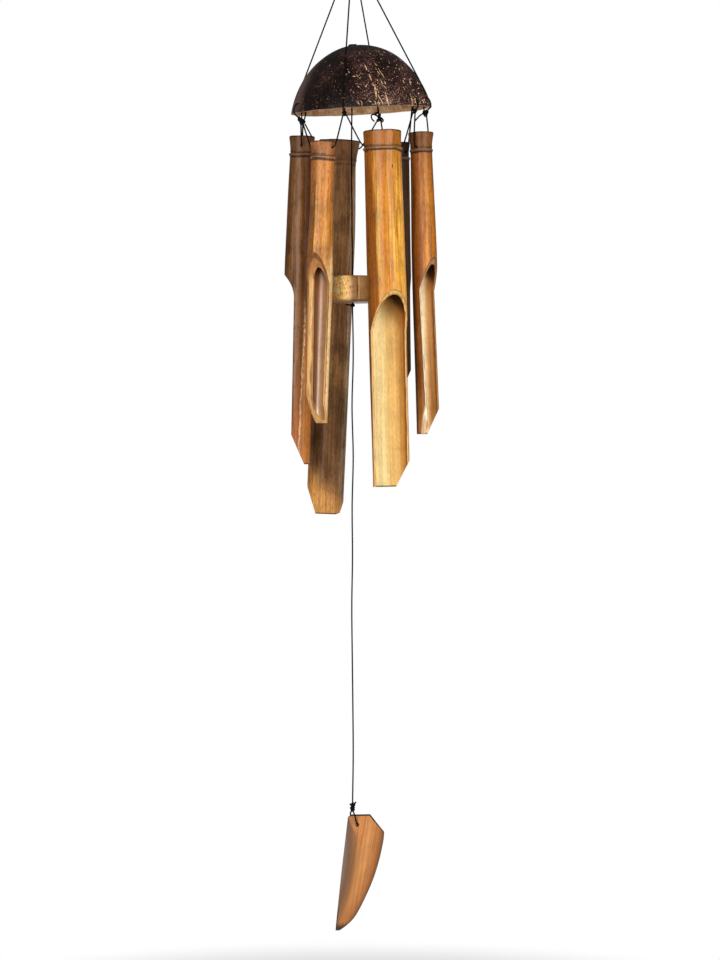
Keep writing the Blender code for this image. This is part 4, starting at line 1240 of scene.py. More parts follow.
def hang_line(tube):
    """(first knot, second knot, cord hole's centre, level direction from the first knot to the second)."""
    start, end = (knot_centre(TIES[name]) for name in tube.ties)
    along = Vector((end.x - start.x, end.y - start.y, 0.0)).normalized()
    middle = (start + end) / 2 + along * tube.slide
    return start, end, Vector((middle.x, middle.y, tube.hole_z)), along


def tube_cord_route(tube):
    """From one rim knot to the tube's hole, through the tube and up to the other knot."""
    start, end, hole, along = hang_line(tube)
    side = tube.cup_radius + cord_radius() + 2 * GAP
    corner = tube.cup_height + sizes().cord_diameter
    route = [hole]
    aside = 0.5 * KNOT_RADIUS
    for sign, knot in ((1, end), (-1, start)):
        reach = (knot - hole).dot(along) * sign
        inward = math.copysign(aside, reach - side + 2 * aside)
        knot = knot - along * (sign * inward)
        reach -= inward
        slope = (reach - side) / (knot.z - hole.z)
        turn = [
            hole + along * (sign * (tube.cup_radius - tube.wall)),
            hole + along * (sign * (side - 0.0008)) + UP * 0.0002,
            hole + along * (sign * (side + 0.0005 + max(0.0, slope) * 0.003)) + UP * 0.0028,
        ]
        if slope < 0:
            turn.append(hole + along * (sign * (side + 0.0003)) + UP * corner)
        away = (knot - turn[-1]).normalized()
        turn.append(knot - away * (0.6 * KNOT_RADIUS))
        route = route + turn if sign > 0 else turn[::-1] + route
    return route


def stay_route(tube):
    """From the tube's first knot across its cup to the strand that rises to the second."""
    strand = tube_cord_route(tube)
    start = hang_line(tube)[0]
    low, high = strand[-2], strand[-1]
    meet = low + (high - low) * 0.5
    return [start, start.lerp(meet, 0.5) + UP * 0.0012, meet]


def tube_frame(tube):
    """The tube's own frame: origin in its cord hole, X along the hole, Z up the tube."""
    _, _, hole, along = hang_line(tube)
    return (
        Matrix.Translation(hole)
        @ Matrix.Rotation(math.atan2(along.y, along.x), 4, "Z")
        @ Matrix.Rotation(math.radians(-tube.tilt_deg), 4, "Y")
        @ Matrix.Rotation(math.radians(tube.lean_deg), 4, "X")
    )


# The pieces


class CHIME_OT_stage(bpy.types.Operator):
    """Sets up the camera, the studio lights, the white room and the pale floor"""

    bl_idname = "chime.stage"
    bl_label = "Stage"

    DISTANCE = 3.0
    EYE = (0.006375, -DISTANCE, -0.4838)
    METRES_PER_PIXEL = 0.00085
    PICTURE_HEIGHT = 960
    SENSOR = 36.0
    LIT = Vector((0.006, 0.0, -0.38))
    FLOOR_RADIUS = 6.0
    FLOOR_FADE = (0.22, 0.4)

    def execute(self, context):
        scene = context.scene
        scene.view_settings.view_transform = "Standard"
        camera = bpy.data.cameras.new("camera")
        camera.sensor_width = self.SENSOR
        camera.lens = self.SENSOR * self.DISTANCE / (self.PICTURE_HEIGHT * self.METRES_PER_PIXEL)
        eye = bpy.data.objects.new("camera", camera)
        eye.location = self.EYE
        eye.rotation_euler = (math.pi / 2, 0.0, 0.0)
        scene.collection.objects.link(eye)
        scene.camera = eye
        lights = scene.chime_lights
        self.light("left_strip", (-1.25, -1.45, -0.25), (0.14, 1.5), lights.left)
        self.light("right_panel", (1.2, -1.5, -0.1), (1.1, 1.6), lights.right)
        self.light("front_panel", (-0.75, -2.1, 0.0), (0.35, 1.2), lights.front)
        self.room(scene, lights.room)
        self.floor()
        return {"FINISHED"}

    def light(self, name, place, size, watts):
        data = bpy.data.lights.new(name, "AREA")
        data.shape = "RECTANGLE"
        data.size, data.size_y = size
        data.energy = watts
        obj = bpy.data.objects.new(name, data)
        obj.location = place
        obj.rotation_euler = (self.LIT - obj.location).to_track_quat("-Z", "Y").to_euler()
        bpy.context.scene.collection.objects.link(obj)

    def seen_by(self, tree, *rays):
        """1 to rays of these kinds and 0 to the rest."""
        path = add(tree, "LightPath", out=None)
        seen = 0.0
        for ray in rays:
            seen = add(tree, "Math", (seen, path[ray]), operation="MAXIMUM")
        return seen

    def room(self, scene, strength):
        """A white room to the camera, and a softer even light on the object."""
        world = bpy.data.worlds.new("white_room")
        world.use_nodes = True
        tree = world.node_tree
        seen = self.seen_by(tree, "Is Camera Ray", "Is Transmission Ray")
        back = add(tree, "MapRange", (seen, 0.0, 1.0, strength, 1.0))
        fill(tree, tree.nodes["Background"], {"Color": linear("ffffff"), "Strength": back})
        scene.world = world

    def floor(self):
        """A pale floor that keeps the shadow near the object and goes to white further out."""
        made, tree = finish("pale_floor")
        surface(made, linear("efefee"), 0.9)
        place = add(tree, "TexCoord", out="Object")
        far = add(tree, "VectorMath", (place,), "Value", operation="LENGTH")
        share = add(tree, "MapRange", (far, *self.FLOOR_FADE, 0.6, 1.0), interpolation_type="SMOOTHSTEP")
        seen = self.seen_by(tree, "Is Camera Ray", "Is Glossy Ray", "Is Transmission Ray")
        share = add(tree, "Math", (share, seen), operation="MULTIPLY")
        white = add(tree, "Emission", {"Color": linear("ffffff"), "Strength": 1.0})
        mixed = add(tree, "MixShader", (share, tree.nodes["Principled BSDF"].outputs[0], white))
        fill(tree, tree.nodes["Material Output"], {"Surface": mixed})
        bm = bmesh.new()
        bmesh.ops.create_circle(bm, cap_ends=True, segments=96, radius=self.FLOOR_RADIUS)
        floor = piece_from("floor", bm, [made])
        floor.location.z = cad_low.z - sizes().floor_drop


class CHIME_OT_hanger(bpy.types.Operator):
    """Ties the hanging loop and the wound knot that gathers the four cords"""

    bl_idname = "chime.hanger"
    bl_label = "Hanger"

    def execute(self, context):
        half = LOOP_WIDTH / 2
        foot = APEX.z + GATHER_LENGTH / 2 - 0.001
        side = (
            (0.0009, 0.0, foot),
            (0.0014, 0.0, -LOOP_HEIGHT + 0.0005),
            (0.5 * half, 0.0, -0.76 * LOOP_HEIGHT),
            (half, 0.0, -0.38 * LOOP_HEIGHT),
            (0.72 * half, 0.0, -0.09 * LOOP_HEIGHT),
        )
        left = [(-x, y, z) for x, y, z in side]
        route = smooth(left + [(0.0, 0.0, cord_radius())] + list(side[::-1]), 0.0022, 2)
        loop = cord_piece("loop_cord", [(route, False)], "hanger", "hang_loop")
        radius = GATHER_RADIUS - cord_radius()
        top = APEX + UP * (GATHER_LENGTH / 2 - 0.0008)
        bottom = APEX - UP * (GATHER_LENGTH / 2 - 0.0012)
        strands = [coil_strand(top, bottom, radius, 6)]
        strands.append(coil_strand(top + UP * 0.0003, bottom - UP * 0.0003, 0.4 * radius, 4))
        end = bottom + plan(40.0, radius, 0.0)
        strands.append(loose_end(end, ((0.0, 0.0, 0.0), (0.0016, -0.0006, -0.0018), (0.002, 0.0, -0.005))))
        knot = cord_piece("gather_winding", strands, "gather", "gather_knot")
        return {"FINISHED"}


class CHIME_OT_suspension(bpy.types.Operator):
    """Runs the four suspension cords over the dome and makes the ties round the rim"""

    bl_idname = "chime.suspension"
    bl_label = "Suspension cords and ties"

    # A knot's size over that of a plain one: with one cord, and with loose ends and second turns
    KNOT_SIZE = 1.1
    FULL_KNOT_SIZE = 1.3
    TIE_STEP = 0.0012
    CORD_STEP = 0.0035
    TAIL_STEP = 0.0008

    def execute(self, context):
        for number, (name, tie) in enumerate(TIES.items(), 1):
            centre = knot_centre(tie)
            if tie.knot_drop < 0:
                strands = [(smooth(stitch_route(tie), self.TIE_STEP), False)]
                strands.append(knot_strand(centre, KNOT_RADIUS, math.radians(tie.angle_deg)))
            else:
                loop = hitch_route(tie)
                strands = [(smooth(loop + loop[:1], self.TIE_STEP)[:-1], True)]
                size = (self.FULL_KNOT_SIZE if name in TAILS else self.KNOT_SIZE) * KNOT_RADIUS
                for turn, lie in ((90.0, 0.3 * number), (20.0, 0.8)):
                    turn = math.radians(tie.angle_deg + turn)
                    strands.append(knot_strand(centre, size, turn, lie, 1.15))
                for places in TAILS.get(name, ()):
                    strands.append(loose_end(centre, places, self.TAIL_STEP))
            nodes = (f"rim_hitch_{number}", f"rim_knot_{number}")
            cord_piece(f"rim_tie_{number}", strands, "canopy", *nodes)
        for number, name in enumerate(SUSPENDED, 1):
            points = smooth(suspension_route(TIES[name]), self.CORD_STEP)
            strands = [(points, False)]
            cord = cord_piece(f"suspension_{number}", strands, "canopy", f"suspension_cord_{number}")
        return {"FINISHED"}


class CHIME_OT_tube_cords(bpy.types.Operator):
    """Threads each tube's cord from knot to knot"""

    bl_idname = "chime.tube_cords"
    bl_label = "Tube cords"

    CORD_STEP = 0.0016
    CARRIED = {1: ["rim_tie_1", "rim_tie_7"], 4: ["rim_tie_3"], 5: ["rim_tie_5"]}

    def execute(self, context):
        for number, tube in enumerate(TUBES, 1):
            points = smooth(tube_cord_route(tube), self.CORD_STEP, 2)
            body = f"tube_{number}_hanging"
            cord = cord_piece(f"tube_{number}_thread", [(points, False)], body, f"tube_cord_{number}")
            carried = [bpy.data.objects[name] for name in self.CARRIED.get(number, [])]
            if number == 6:
                stay = [(smooth(stay_route(tube), self.CORD_STEP), False)]
                carried.append(cord_piece("tube_6_steadying_strand", stay, body, "tube_6_stay"))
        return {"FINISHED"}


class CHIME_OT_centre_lines(bpy.types.Operator):
    """Hangs the clapper line from the crown and the sail line from the clapper"""

    bl_idname = "chime.centre_lines"
    bl_label = "Centre lines"

    # The crown tie lies on the shell as a ring with a bar across it
    RING_STEPS = 24
    RING_LONG = 0.0030
    RING_SHORT = 0.0018
    RING_LIFT = 0.0004
    # How far the sail line drifts to the sides, evenly spaced down it
    DRIFT = (0.0, 0.0006, -0.0004, 0.0006, -0.0003, 0.0, -0.0006, -0.0002, 0.0003, 0.0006, 0.0)

    def execute(self, context):
        top, normal = crown_point()
        crown = top + normal * (self.RING_LIFT + GAP)
        lie = UP.rotation_difference(normal).to_matrix()
        ring = []
        for i in range(self.RING_STEPS):
            turn = math.tau * i / self.RING_STEPS
            wave = 0.25 * cord_radius() * math.sin(2 * turn)
            place = (self.RING_LONG * math.cos(turn), self.RING_SHORT * math.sin(turn), wave)
            ring.append(crown + lie @ Vector(place))
        bar = [crown + Vector((x, 0.0002, 0.0002)) for x in (-0.0022, -0.0008, 0.0008, 0.0022)]
        upper = [(ring, True), (smooth(bar, 0.001), False)]
        crown_tie = cord_piece("crown_tie", upper, "crown", "crown_knot")
        low = CLAPPER_KNOT_Z + 0.5 * KNOT_RADIUS
        tall = crown.z - low
        route = (
            (0.0, 0.0, crown.z),
            (0.0, 0.0, crown.z - 0.05 * tall),
            (-0.0008, 0.0004, crown.z - 0.42 * tall),
            (0.0, 0.0, CLAPPER_TOP_Z + 0.004),
            (0.0, 0.0, low),
        )
        points = smooth(route, 0.005)
        line = cord_piece("clapper_cord", [(points, False)], "clapper", "clapper_line")
        knot = Vector((0.0, 0.0, CLAPPER_KNOT_Z))
        end = loose_end(knot, ((0.0, 0.0, 0.0), (-0.0030, -0.0012, 0.0004), (-0.0058, -0.0016, 0.0010)))
        lower = [knot_strand(knot, KNOT_RADIUS, 0.4, 0.5), end]
        lower_tie = cord_piece("clapper_tie", lower, "clapper_tie", "clapper_knot")
        self.sail_cords(knot)
        return {"FINISHED"}

    def sail_cords(self, knot):
        start = knot - UP * (0.5 * KNOT_RADIUS)
        centre = Vector((0.0, 0.0, SAIL_KNOT_Z))
        end = centre + UP * (0.5 * KNOT_RADIUS)
        route = []
        for i, side in enumerate(self.DRIFT):
            route.append(start.lerp(end, i / (len(self.DRIFT) - 1)) + Vector((side, 0.3 * side, 0.0)))
        points = smooth(route, 0.0056)
        line = cord_piece("sail_cord", [(points, False)], "sail_hanging", "sail_line")
        tie = [
            knot_strand(centre + UP * 0.0016, 1.2 * KNOT_RADIUS, 0.2, 0.4, 1.2),
            knot_strand(centre - UP * 0.0008, 1.25 * KNOT_RADIUS, 1.1, -0.3),
            knot_strand(centre - UP * 0.0022, KNOT_RADIUS, 0.6, 0.5),
            loose_end(centre, ((0.0, 0.0, 0.0), (0.0012, -0.0006, 0.0022), (0.0030, -0.0010, 0.0044))),
        ]
        cord_piece("sail_tie", tie, "sail_swivel", "sail_knot")
        face = SAIL_WALL / 2 + cord_radius() + 2 * GAP
        leave = 0.4 * KNOT_RADIUS
        loop = (
            centre + Vector((0.0, -leave, -2 * leave)),
            centre.lerp(SAIL_HOLE, 0.45) + Vector((0.0, -face, 0.0)),
            SAIL_HOLE + Vector((-0.0008, -face - 0.0004, 0.0024)),
            SAIL_HOLE + Vector((0.0, -face + 0.0006, 0.0002)),
            SAIL_HOLE,
            SAIL_HOLE + Vector((0.0, face - 0.0004, 0.0002)),
            SAIL_HOLE + Vector((-0.0022, face + 0.0018, 0.0030)),
            centre.lerp(SAIL_HOLE, 0.45) + Vector((-0.0036, face + 0.0012, 0.0)),
            centre + Vector((0.0, leave, -2 * leave)),
        )
        points = smooth(loop, 0.0014, 2)
        cord_piece("sail_loop_cord", [(points, False)], "sail_swivel", "sail_loop")


class CHIME_OT_shell(bpy.types.Operator):
    """Turns the coconut shell, drills it and leaves husk fibres on it"""

    bl_idname = "chime.shell"
    bl_label = "Coconut shell"

    STEPS = 240
    OUTER_ROWS = 64
    INNER_ROWS = 32
    # The rim is rounded and, up to a height, a little wavy
    RIM_ROUND = 0.0002
    RIM_WAVE = 0.0005
    RIM_WAVE_TOP = 0.004
    HUSK_SEED = 7
    SLIVER_RINGS = 6
    SLIVER_HALF_DEPTH = 0.0003

    def execute(self, context):
        polished, scraped = coconut_shell(), coconut_inside()
        bm = bmesh.new()
        outer = self.section(0.0, self.OUTER_ROWS)
        inner = self.section(SHELL_WALL, self.INNER_ROWS)[::-1]
        edge = [((outer[-1][0] + inner[0][0]) / 2, -self.RIM_ROUND)]
        turned(bm, outer + edge + inner, self.STEPS)
        for face in bm.faces:
            middle = face.calc_center_median()
            outward = face.normal.dot(middle + UP * SHELL_BELLY_DROP) > 0
            face.material_index = 0 if outward and middle.z > 0.0001 else 1
        relief = sizes().shell_relief
        for vert in bm.verts:
            away = (vert.co + UP * SHELL_BELLY_DROP).normalized()
            turn = math.atan2(vert.co.y, vert.co.x)
            ridge = Vector((2.2 * math.cos(turn), 2.2 * math.sin(turn), 12.0 * vert.co.z))
            vert.co += away * (lump(vert.co, 28.0, relief) + lump(ridge * 9.0, 1.0, 0.25 * relief))
            if vert.co.z < self.RIM_WAVE_TOP:
                vert.co.z += lump(Vector((math.cos(turn), math.sin(turn), 0.0)), 3.0, self.RIM_WAVE)
        bmesh.ops.transform(bm, matrix=SHELL_FRAME, verts=bm.verts)
        shell = piece_from("coconut_dome", bm, [polished, scraped])
        radius = cord_radius() + HOLE_CLEARANCE + GAP
        down = Matrix.Translation(crown_point()[0]) @ Matrix.Rotation(math.pi / 2, 4, "Y")
        holes = [cutter(down, scraped, drill, radius + GAP, 4 * SHELL_WALL)]
        for tie in TIES.values():
            reach = shell_radius(tie.hole_height) - SHELL_WALL / 2
            half = math.degrees(STITCH_WIDTH / 2 / reach)
            for side in (-half, half) if tie.knot_drop < 0 else (0.0,):
                angle = tie.angle_deg + side
                turn = Matrix.Rotation(math.radians(angle), 4, "Z")
                bore = SHELL_FRAME @ Matrix.Translation(plan(angle, reach, tie.hole_height)) @ turn
                holes.append(cutter(bore, scraped, drill, radius, 3 * SHELL_WALL))
        carve(shell, holes)
        shade_round(shell, 45)
        dress(shell, "canopy", "coconut_shell", "coconut_shell")
        self.husk()
        return {"FINISHED"}

    def section(self, inset, rows):
        """(radius, height) points of the shell's section, from the crown to the rim."""
        rim = math.asin(SHELL_BELLY_DROP / (SHELL_SEMI_HEIGHT - inset))
        points = []
        for i in range(rows + 1):
            angle = math.pi / 2 + (rim - math.pi / 2) * i / rows
            radius = (SHELL_SEMI_WIDTH - inset) * math.cos(angle)
            height = (SHELL_SEMI_HEIGHT - inset) * math.sin(angle) - SHELL_BELLY_DROP
            points.append((max(0.0, radius) if i else 0.0, height))
        return points

    def on_dome(self, across, up):
        """(angle, height) on the front of the dome of a place seen from the front, in mm."""
        into = SHELL_FRAME.inverted()
        near = into @ Vector((across / 1000, 0.0, up / 1000)) + UP * SHELL_BELLY_DROP
        along = into.to_3x3() @ Vector((0.0, 1.0, 0.0))
        scale = Matrix.Diagonal((1 / SHELL_SEMI_WIDTH, 1 / SHELL_SEMI_WIDTH, 1 / SHELL_SEMI_HEIGHT))
        near, along = scale @ near, scale @ along
        a, b, c = along.dot(along), along.dot(near), near.dot(near) - 1
        step = (-b - math.sqrt(max(0.0, b * b - a * c))) / a
        met = near + along * step
        angle = math.degrees(math.atan2(met.y, met.x))
        return Vector((angle, met.z * SHELL_SEMI_HEIGHT - SHELL_BELLY_DROP))

    def husk(self):
        """Flat slivers of husk fibre that lie along the shell: some by their places, the rest by chance."""
        chance = random.Random(self.HUSK_SEED)
        bm = bmesh.new()
        for across, up, across_end, up_end, wide in FIBRES:
            start, end = self.on_dome(across, up), self.on_dome(across_end, up_end)
            self.sliver(bm, start, end, wide / 1000)
        for _ in range(sizes().fibre_count):
            angle = chance.uniform(10.0, 170.0)
            self.stray(bm, chance, angle, (0.002, 0.045, 1.6), (0.002, 0.007), (0.0002, 0.0005), 2.0)
        for _ in range(sizes().speck_count):
            angle = chance.triangular(-150.0, -12.0, -50.0)
            self.stray(bm, chance, angle, (0.001, 0.048, 1.8), (0.0005, 0.0016), (0.0003, 0.0008), 1.0)
        bmesh.ops.recalc_face_normals(bm, faces=bm.faces)
        bmesh.ops.transform(bm, matrix=SHELL_FRAME, verts=bm.verts)
        husk = piece_from("husk_fibres", bm, [husk_fibre()])
        husk.data.shade_smooth()
        dress(husk, "canopy", "coconut_shell")

    def stray(self, bm, chance, angle, heights, lengths, widths, skew):
        """A sliver by chance. Heights are the least, what may come on top and how they crowd to the rim."""
        least, more, crowding = heights
        low = least + more * chance.random() ** crowding
        long = chance.uniform(*lengths)
        wide = chance.uniform(*widths)
        lean = chance.uniform(-skew, skew)
        self.sliver(bm, Vector((angle, low)), Vector((angle + lean, low + long)), wide)

    def dome_point(self, place):
        return plan(place.x, shell_radius(place.y), place.y)

    def sliver(self, bm, start, end, wide):
        """One lens-shaped sliver from one (angle, height) to another, sunk a little into the shell."""
        rings = []
        for i in range(self.SLIVER_RINGS):
            share = i / (self.SLIVER_RINGS - 1)
            place = self.dome_point(start.lerp(end, share))
            ahead = self.dome_point(start.lerp(end, share + 0.02)) - place
            away = dome_normal(place)
            aside = away.cross(ahead).normalized() * (wide * math.sin(math.pi * (0.08 + 0.84 * share)) / 2)
            away *= self.SLIVER_HALF_DEPTH
            ring = (place - aside - away, place + away, place + aside - away)
            rings.append([bm.verts.new(point) for point in ring])
        edges = [[bm.edges.new(pair) for pair in zip(ring, ring[1:])] for ring in rings]
        for a, b in zip(edges, edges[1:]):
            bmesh.ops.bridge_loops(bm, edges=a + b)


class CHIME_OT_tubes(bpy.types.Operator):
    """Turns the six bamboo tubes, cuts their tongues and feet and drills them"""

    bl_idname = "chime.tubes"
    bl_label = "Bamboo tubes"

    # Steps round a tube, and round one whose foot is wide
    STEPS = 56
    WIDE_STEPS = 72
    WIDE_FOOT = 0.014
    # A tongue's scoop: the steps along it, where its curve starts, and how far its cutter goes past the tube
    SCOOP_STEPS = 16
    SCOOP_START = math.radians(35)
    CUT_PAST = 0.003
    # How far a cutter is wider than the cup, and how uneven the cup's rim is
    CUTTER_MARGIN = 0.006
    RIM_WAVE = 0.0005

    def execute(self, context):
        for number, (tube, look) in enumerate(zip(TUBES, FINISHES), 1):
            self.make(number, tube, look)
        return {"FINISHED"}

    def profile(self, tube):
        """(radius, height) points: the floor of the cup, over its rim, down the outside and up the bore."""
        ring, top, arch, foot = -tube.ring_drop, tube.cup_height, -tube.cut_drop, -tube.foot_drop
        cup_bore = min(tube.cup_radius, tube.neck_radius) - tube.wall * 0.8
        floor = min(ring + 0.001, -cord_radius() - HOLE_CLEARANCE - 0.0006)
        belly = (ring + arch) / 2
        cup = [(0.0, floor), (cup_bore - 0.0008, floor), (cup_bore - 0.0002, floor + 0.0003)]
        cup += [(cup_bore, floor + 0.001), (cup_bore + 0.0003, top - 0.0006)]
        rim = [(cup_bore + 0.0007, top - 0.0001), (cup_bore + 0.0010, top)]
        rim += [(tube.cup_radius - 0.0006, top), (tube.cup_radius, top - 0.0006)]
        neck_top = min(ring + 0.0055, top - 0.004)
        neck = (rim[-1], (tube.neck_radius, neck_top), (tube.neck_radius, ring + 0.0022))
        ridge = [(tube.neck_radius - 0.00025, ring + 0.0013), (tube.ring_radius, ring + 0.0004)]
        ridge += [(tube.ring_radius, ring - 0.0004), (tube.shoulder_radius + 0.0002, ring - 0.0014)]
        outside = (
            (tube.shoulder_radius, ring - 0.0024),
            (tube.belly_radius, belly),
            (tube.cut_radius, arch),
            ((tube.cut_radius + tube.foot_radius) / 2, (arch + foot) / 2),
            (tube.foot_radius, foot),
        )
        inside = (
            (tube.foot_radius - tube.wall, foot),
            (tube.cut_radius - tube.wall, arch),
            (tube.belly_radius - tube.wall, belly),
            (tube.shoulder_radius - tube.wall, floor - 0.0045),
        )
        closed = [(tube.shoulder_radius - tube.wall - 0.0015, floor - 0.003), (0.0, floor - 0.003)]
        outer = flat_curve(neck, 0.0012)[1:] + ridge + flat_curve(outside, 0.006)
        return cup + rim + outer + flat_curve(inside, 0.010) + closed

    def tongue(self, tube, look):
        """What the tongue cut takes away, as (distance out from the tube's axis, height)."""
        first, past = self.SCOOP_START, self.CUT_PAST
        depth = tube.cut_radius - tube.cut_top_offset
        outline = []
        for i in range(self.SCOOP_STEPS + 1):
            share = i / self.SCOOP_STEPS
            angle = first + (math.pi / 2 - first) * share
            out = depth * (math.sin(angle) - math.sin(first)) / (1 - math.sin(first))
            drop = tube.cut_run * (math.cos(first) - math.cos(angle)) / math.cos(first)
            if look.straight_run:
                out, drop = depth * share, look.straight_run * share
            outline.append((tube.cut_radius - out, -tube.cut_drop - drop))
        rise = (outline[0][1] - outline[1][1]) / (outline[0][0] - outline[1][0])
        outline.insert(0, (tube.cut_radius + past, -tube.cut_drop + rise * past))
        outline.append((tube.cut_foot_offset, -tube.foot_drop - past))
        outline.append((tube.cut_radius + past, -tube.foot_drop - past))
        return outline

    def make(self, number, tube, look):
        placed = tube_frame(tube)
        heading = math.atan2(placed[1][0], placed[0][0])
        skin = bamboo_skin(f"{look.slot}_skin", tube, look, placed, heading)
        sawn = bamboo_sawn(f"{look.slot}_sawn", tube, look, placed, heading)
        bore = bamboo_inside(f"{look.slot}_bore", tube, look, placed, heading)
        bm = bmesh.new()
        turned(bm, self.profile(tube), self.WIDE_STEPS if tube.foot_radius > self.WIDE_FOOT else self.STEPS)
        for face in bm.faces:
            middle = face.calc_center_median()
            outward = face.normal.dot(in_plan(middle)) > 0
            level = abs(face.normal.z) > 0.8
            at_end = middle.z > tube.cup_height - 0.001 or middle.z < 0.001 - tube.foot_drop
            face.material_index = 1 if level and at_end else 0 if outward else 2
        grow = Vector((13.7 * number, 5.1 * number, 0.0))
        aside = plan(tube.cut_facing_deg + 90.0 - math.degrees(heading), look.bore_shift, 0.0)
        radii = (tube.shoulder_radius, tube.belly_radius, tube.cut_radius, tube.foot_radius)
        within = min(radii) - tube.wall / 2
        for vert in bm.verts:
            radial = in_plan(vert.co)
            if radial.length > 0.002:
                around = radial.normalized()
                place = around * 1.1 + grow + UP * (vert.co.z * 18.0)
                vert.co += around * lump(place, 1.0, sizes().skin_relief)
                if radial.length < within and vert.co.z < -tube.ring_drop - 0.006:
                    vert.co += aside + around * look.bore_grow
            if vert.co.z > tube.cup_height - 0.001:
                vert.co.z += lump(radial + grow, 90.0, self.RIM_WAVE)
        bmesh.ops.transform(bm, matrix=placed, verts=bm.verts)
        obj = piece_from(f"bamboo_culm_{number}", bm, [skin, sawn, bore])
        wide = tube.cup_radius + self.CUTTER_MARGIN
        turn = Matrix.Rotation(math.radians(tube.cut_facing_deg) - heading, 4, "Z")
        cuts = [cutter(placed @ turn, sawn, prism, self.tongue(tube, look), wide)]
        for side, width, height in tube.mitres:
            slope = Vector((width, height)) * 0.25
            outer = Vector((tube.foot_radius, height - tube.foot_drop)) + slope
            inner = Vector((tube.foot_radius - width, -tube.foot_drop)) - slope
            turn = Matrix.Rotation(math.radians(side) - heading, 4, "Z")
            wedge = (inner, (outer.x, inner.y), outer)
            cuts.append(cutter(placed @ turn, sawn, prism, wedge, wide))
        level = Matrix.Translation(placed.translation) @ Matrix.Rotation(heading, 4, "Z")
        hole = cord_radius() + HOLE_CLEARANCE
        cuts.append(cutter(level, bore, drill, hole, 2 * wide))
        carve(obj, cuts)
        soften(obj, sizes().edge_round)
        dress(obj, f"tube_{number}", look.slot, f"bamboo_tube_{number}")


class CHIME_OT_clapper(bpy.types.Operator):
    """Turns the wooden clapper and splits its edge"""

    bl_idname = "chime.clapper"
    bl_label = "Clapper"

    CRACK_FACING_DEG = -78.6
    CRACK_WIDTH = 0.0011
    CRACK_DEPTH = 0.0035
    ROUND_EDGE = 0.0016
    SIDE_ROWS = 12

    def execute(self, context):
        wood = palm_wood()
        half = CLAPPER_DIAMETER / 2
        bore = cord_radius() + GAP
        bm = bmesh.new()
        round_edge = self.ROUND_EDGE
        row = (CLAPPER_THICKNESS - 2 * round_edge) / self.SIDE_ROWS
        side = [(half, -round_edge - row * i) for i in range(self.SIDE_ROWS + 1)]
        profile = [(bore, 0.0), (half * 0.5, 0.0), (half - round_edge, 0.0)]
        profile += [(half - 0.4 * round_edge, -0.3 * round_edge)] + side
        profile += [
            (half - 0.4 * round_edge, 0.3 * round_edge - CLAPPER_THICKNESS),
            (half - round_edge, -CLAPPER_THICKNESS),
            (half * 0.5, -CLAPPER_THICKNESS),
            (bore, -CLAPPER_THICKNESS),
            (bore, 0.0),
        ]
        turned(bm, profile, 96)
        for vert in bm.verts:
            radial = in_plan(vert.co)
            if radial.length > 0.01:
                vert.co += radial.normalized() * (lump(vert.co, 70.0, 0.0006) - 0.0003)
                vert.co += radial.normalized() * lump(vert.co, 260.0, 0.0003)
        bmesh.ops.translate(bm, verts=bm.verts, vec=(0.0, 0.0, CLAPPER_TOP_Z))
        disc = piece_from("clapper_block", bm, [wood])
        face = plan(self.CRACK_FACING_DEG, half, CLAPPER_TOP_Z - CLAPPER_THICKNESS / 2)
        turn = Matrix.Rotation(math.radians(self.CRACK_FACING_DEG), 4, "Z")
        tall = CLAPPER_THICKNESS * 0.46
        outline = [(0.001, -tall), (0.001, tall), (-0.0005, tall * 0.98)]
        outline += [(-self.CRACK_DEPTH, 0.0), (-0.0005, -tall)]
        carve(disc, [cutter(Matrix.Translation(face) @ turn, wood, prism, outline, self.CRACK_WIDTH / 2)])
        shade_round(disc, 40)
        dress(disc, "clapper", "clapper_wood", "clapper_disc")
        return {"FINISHED"}


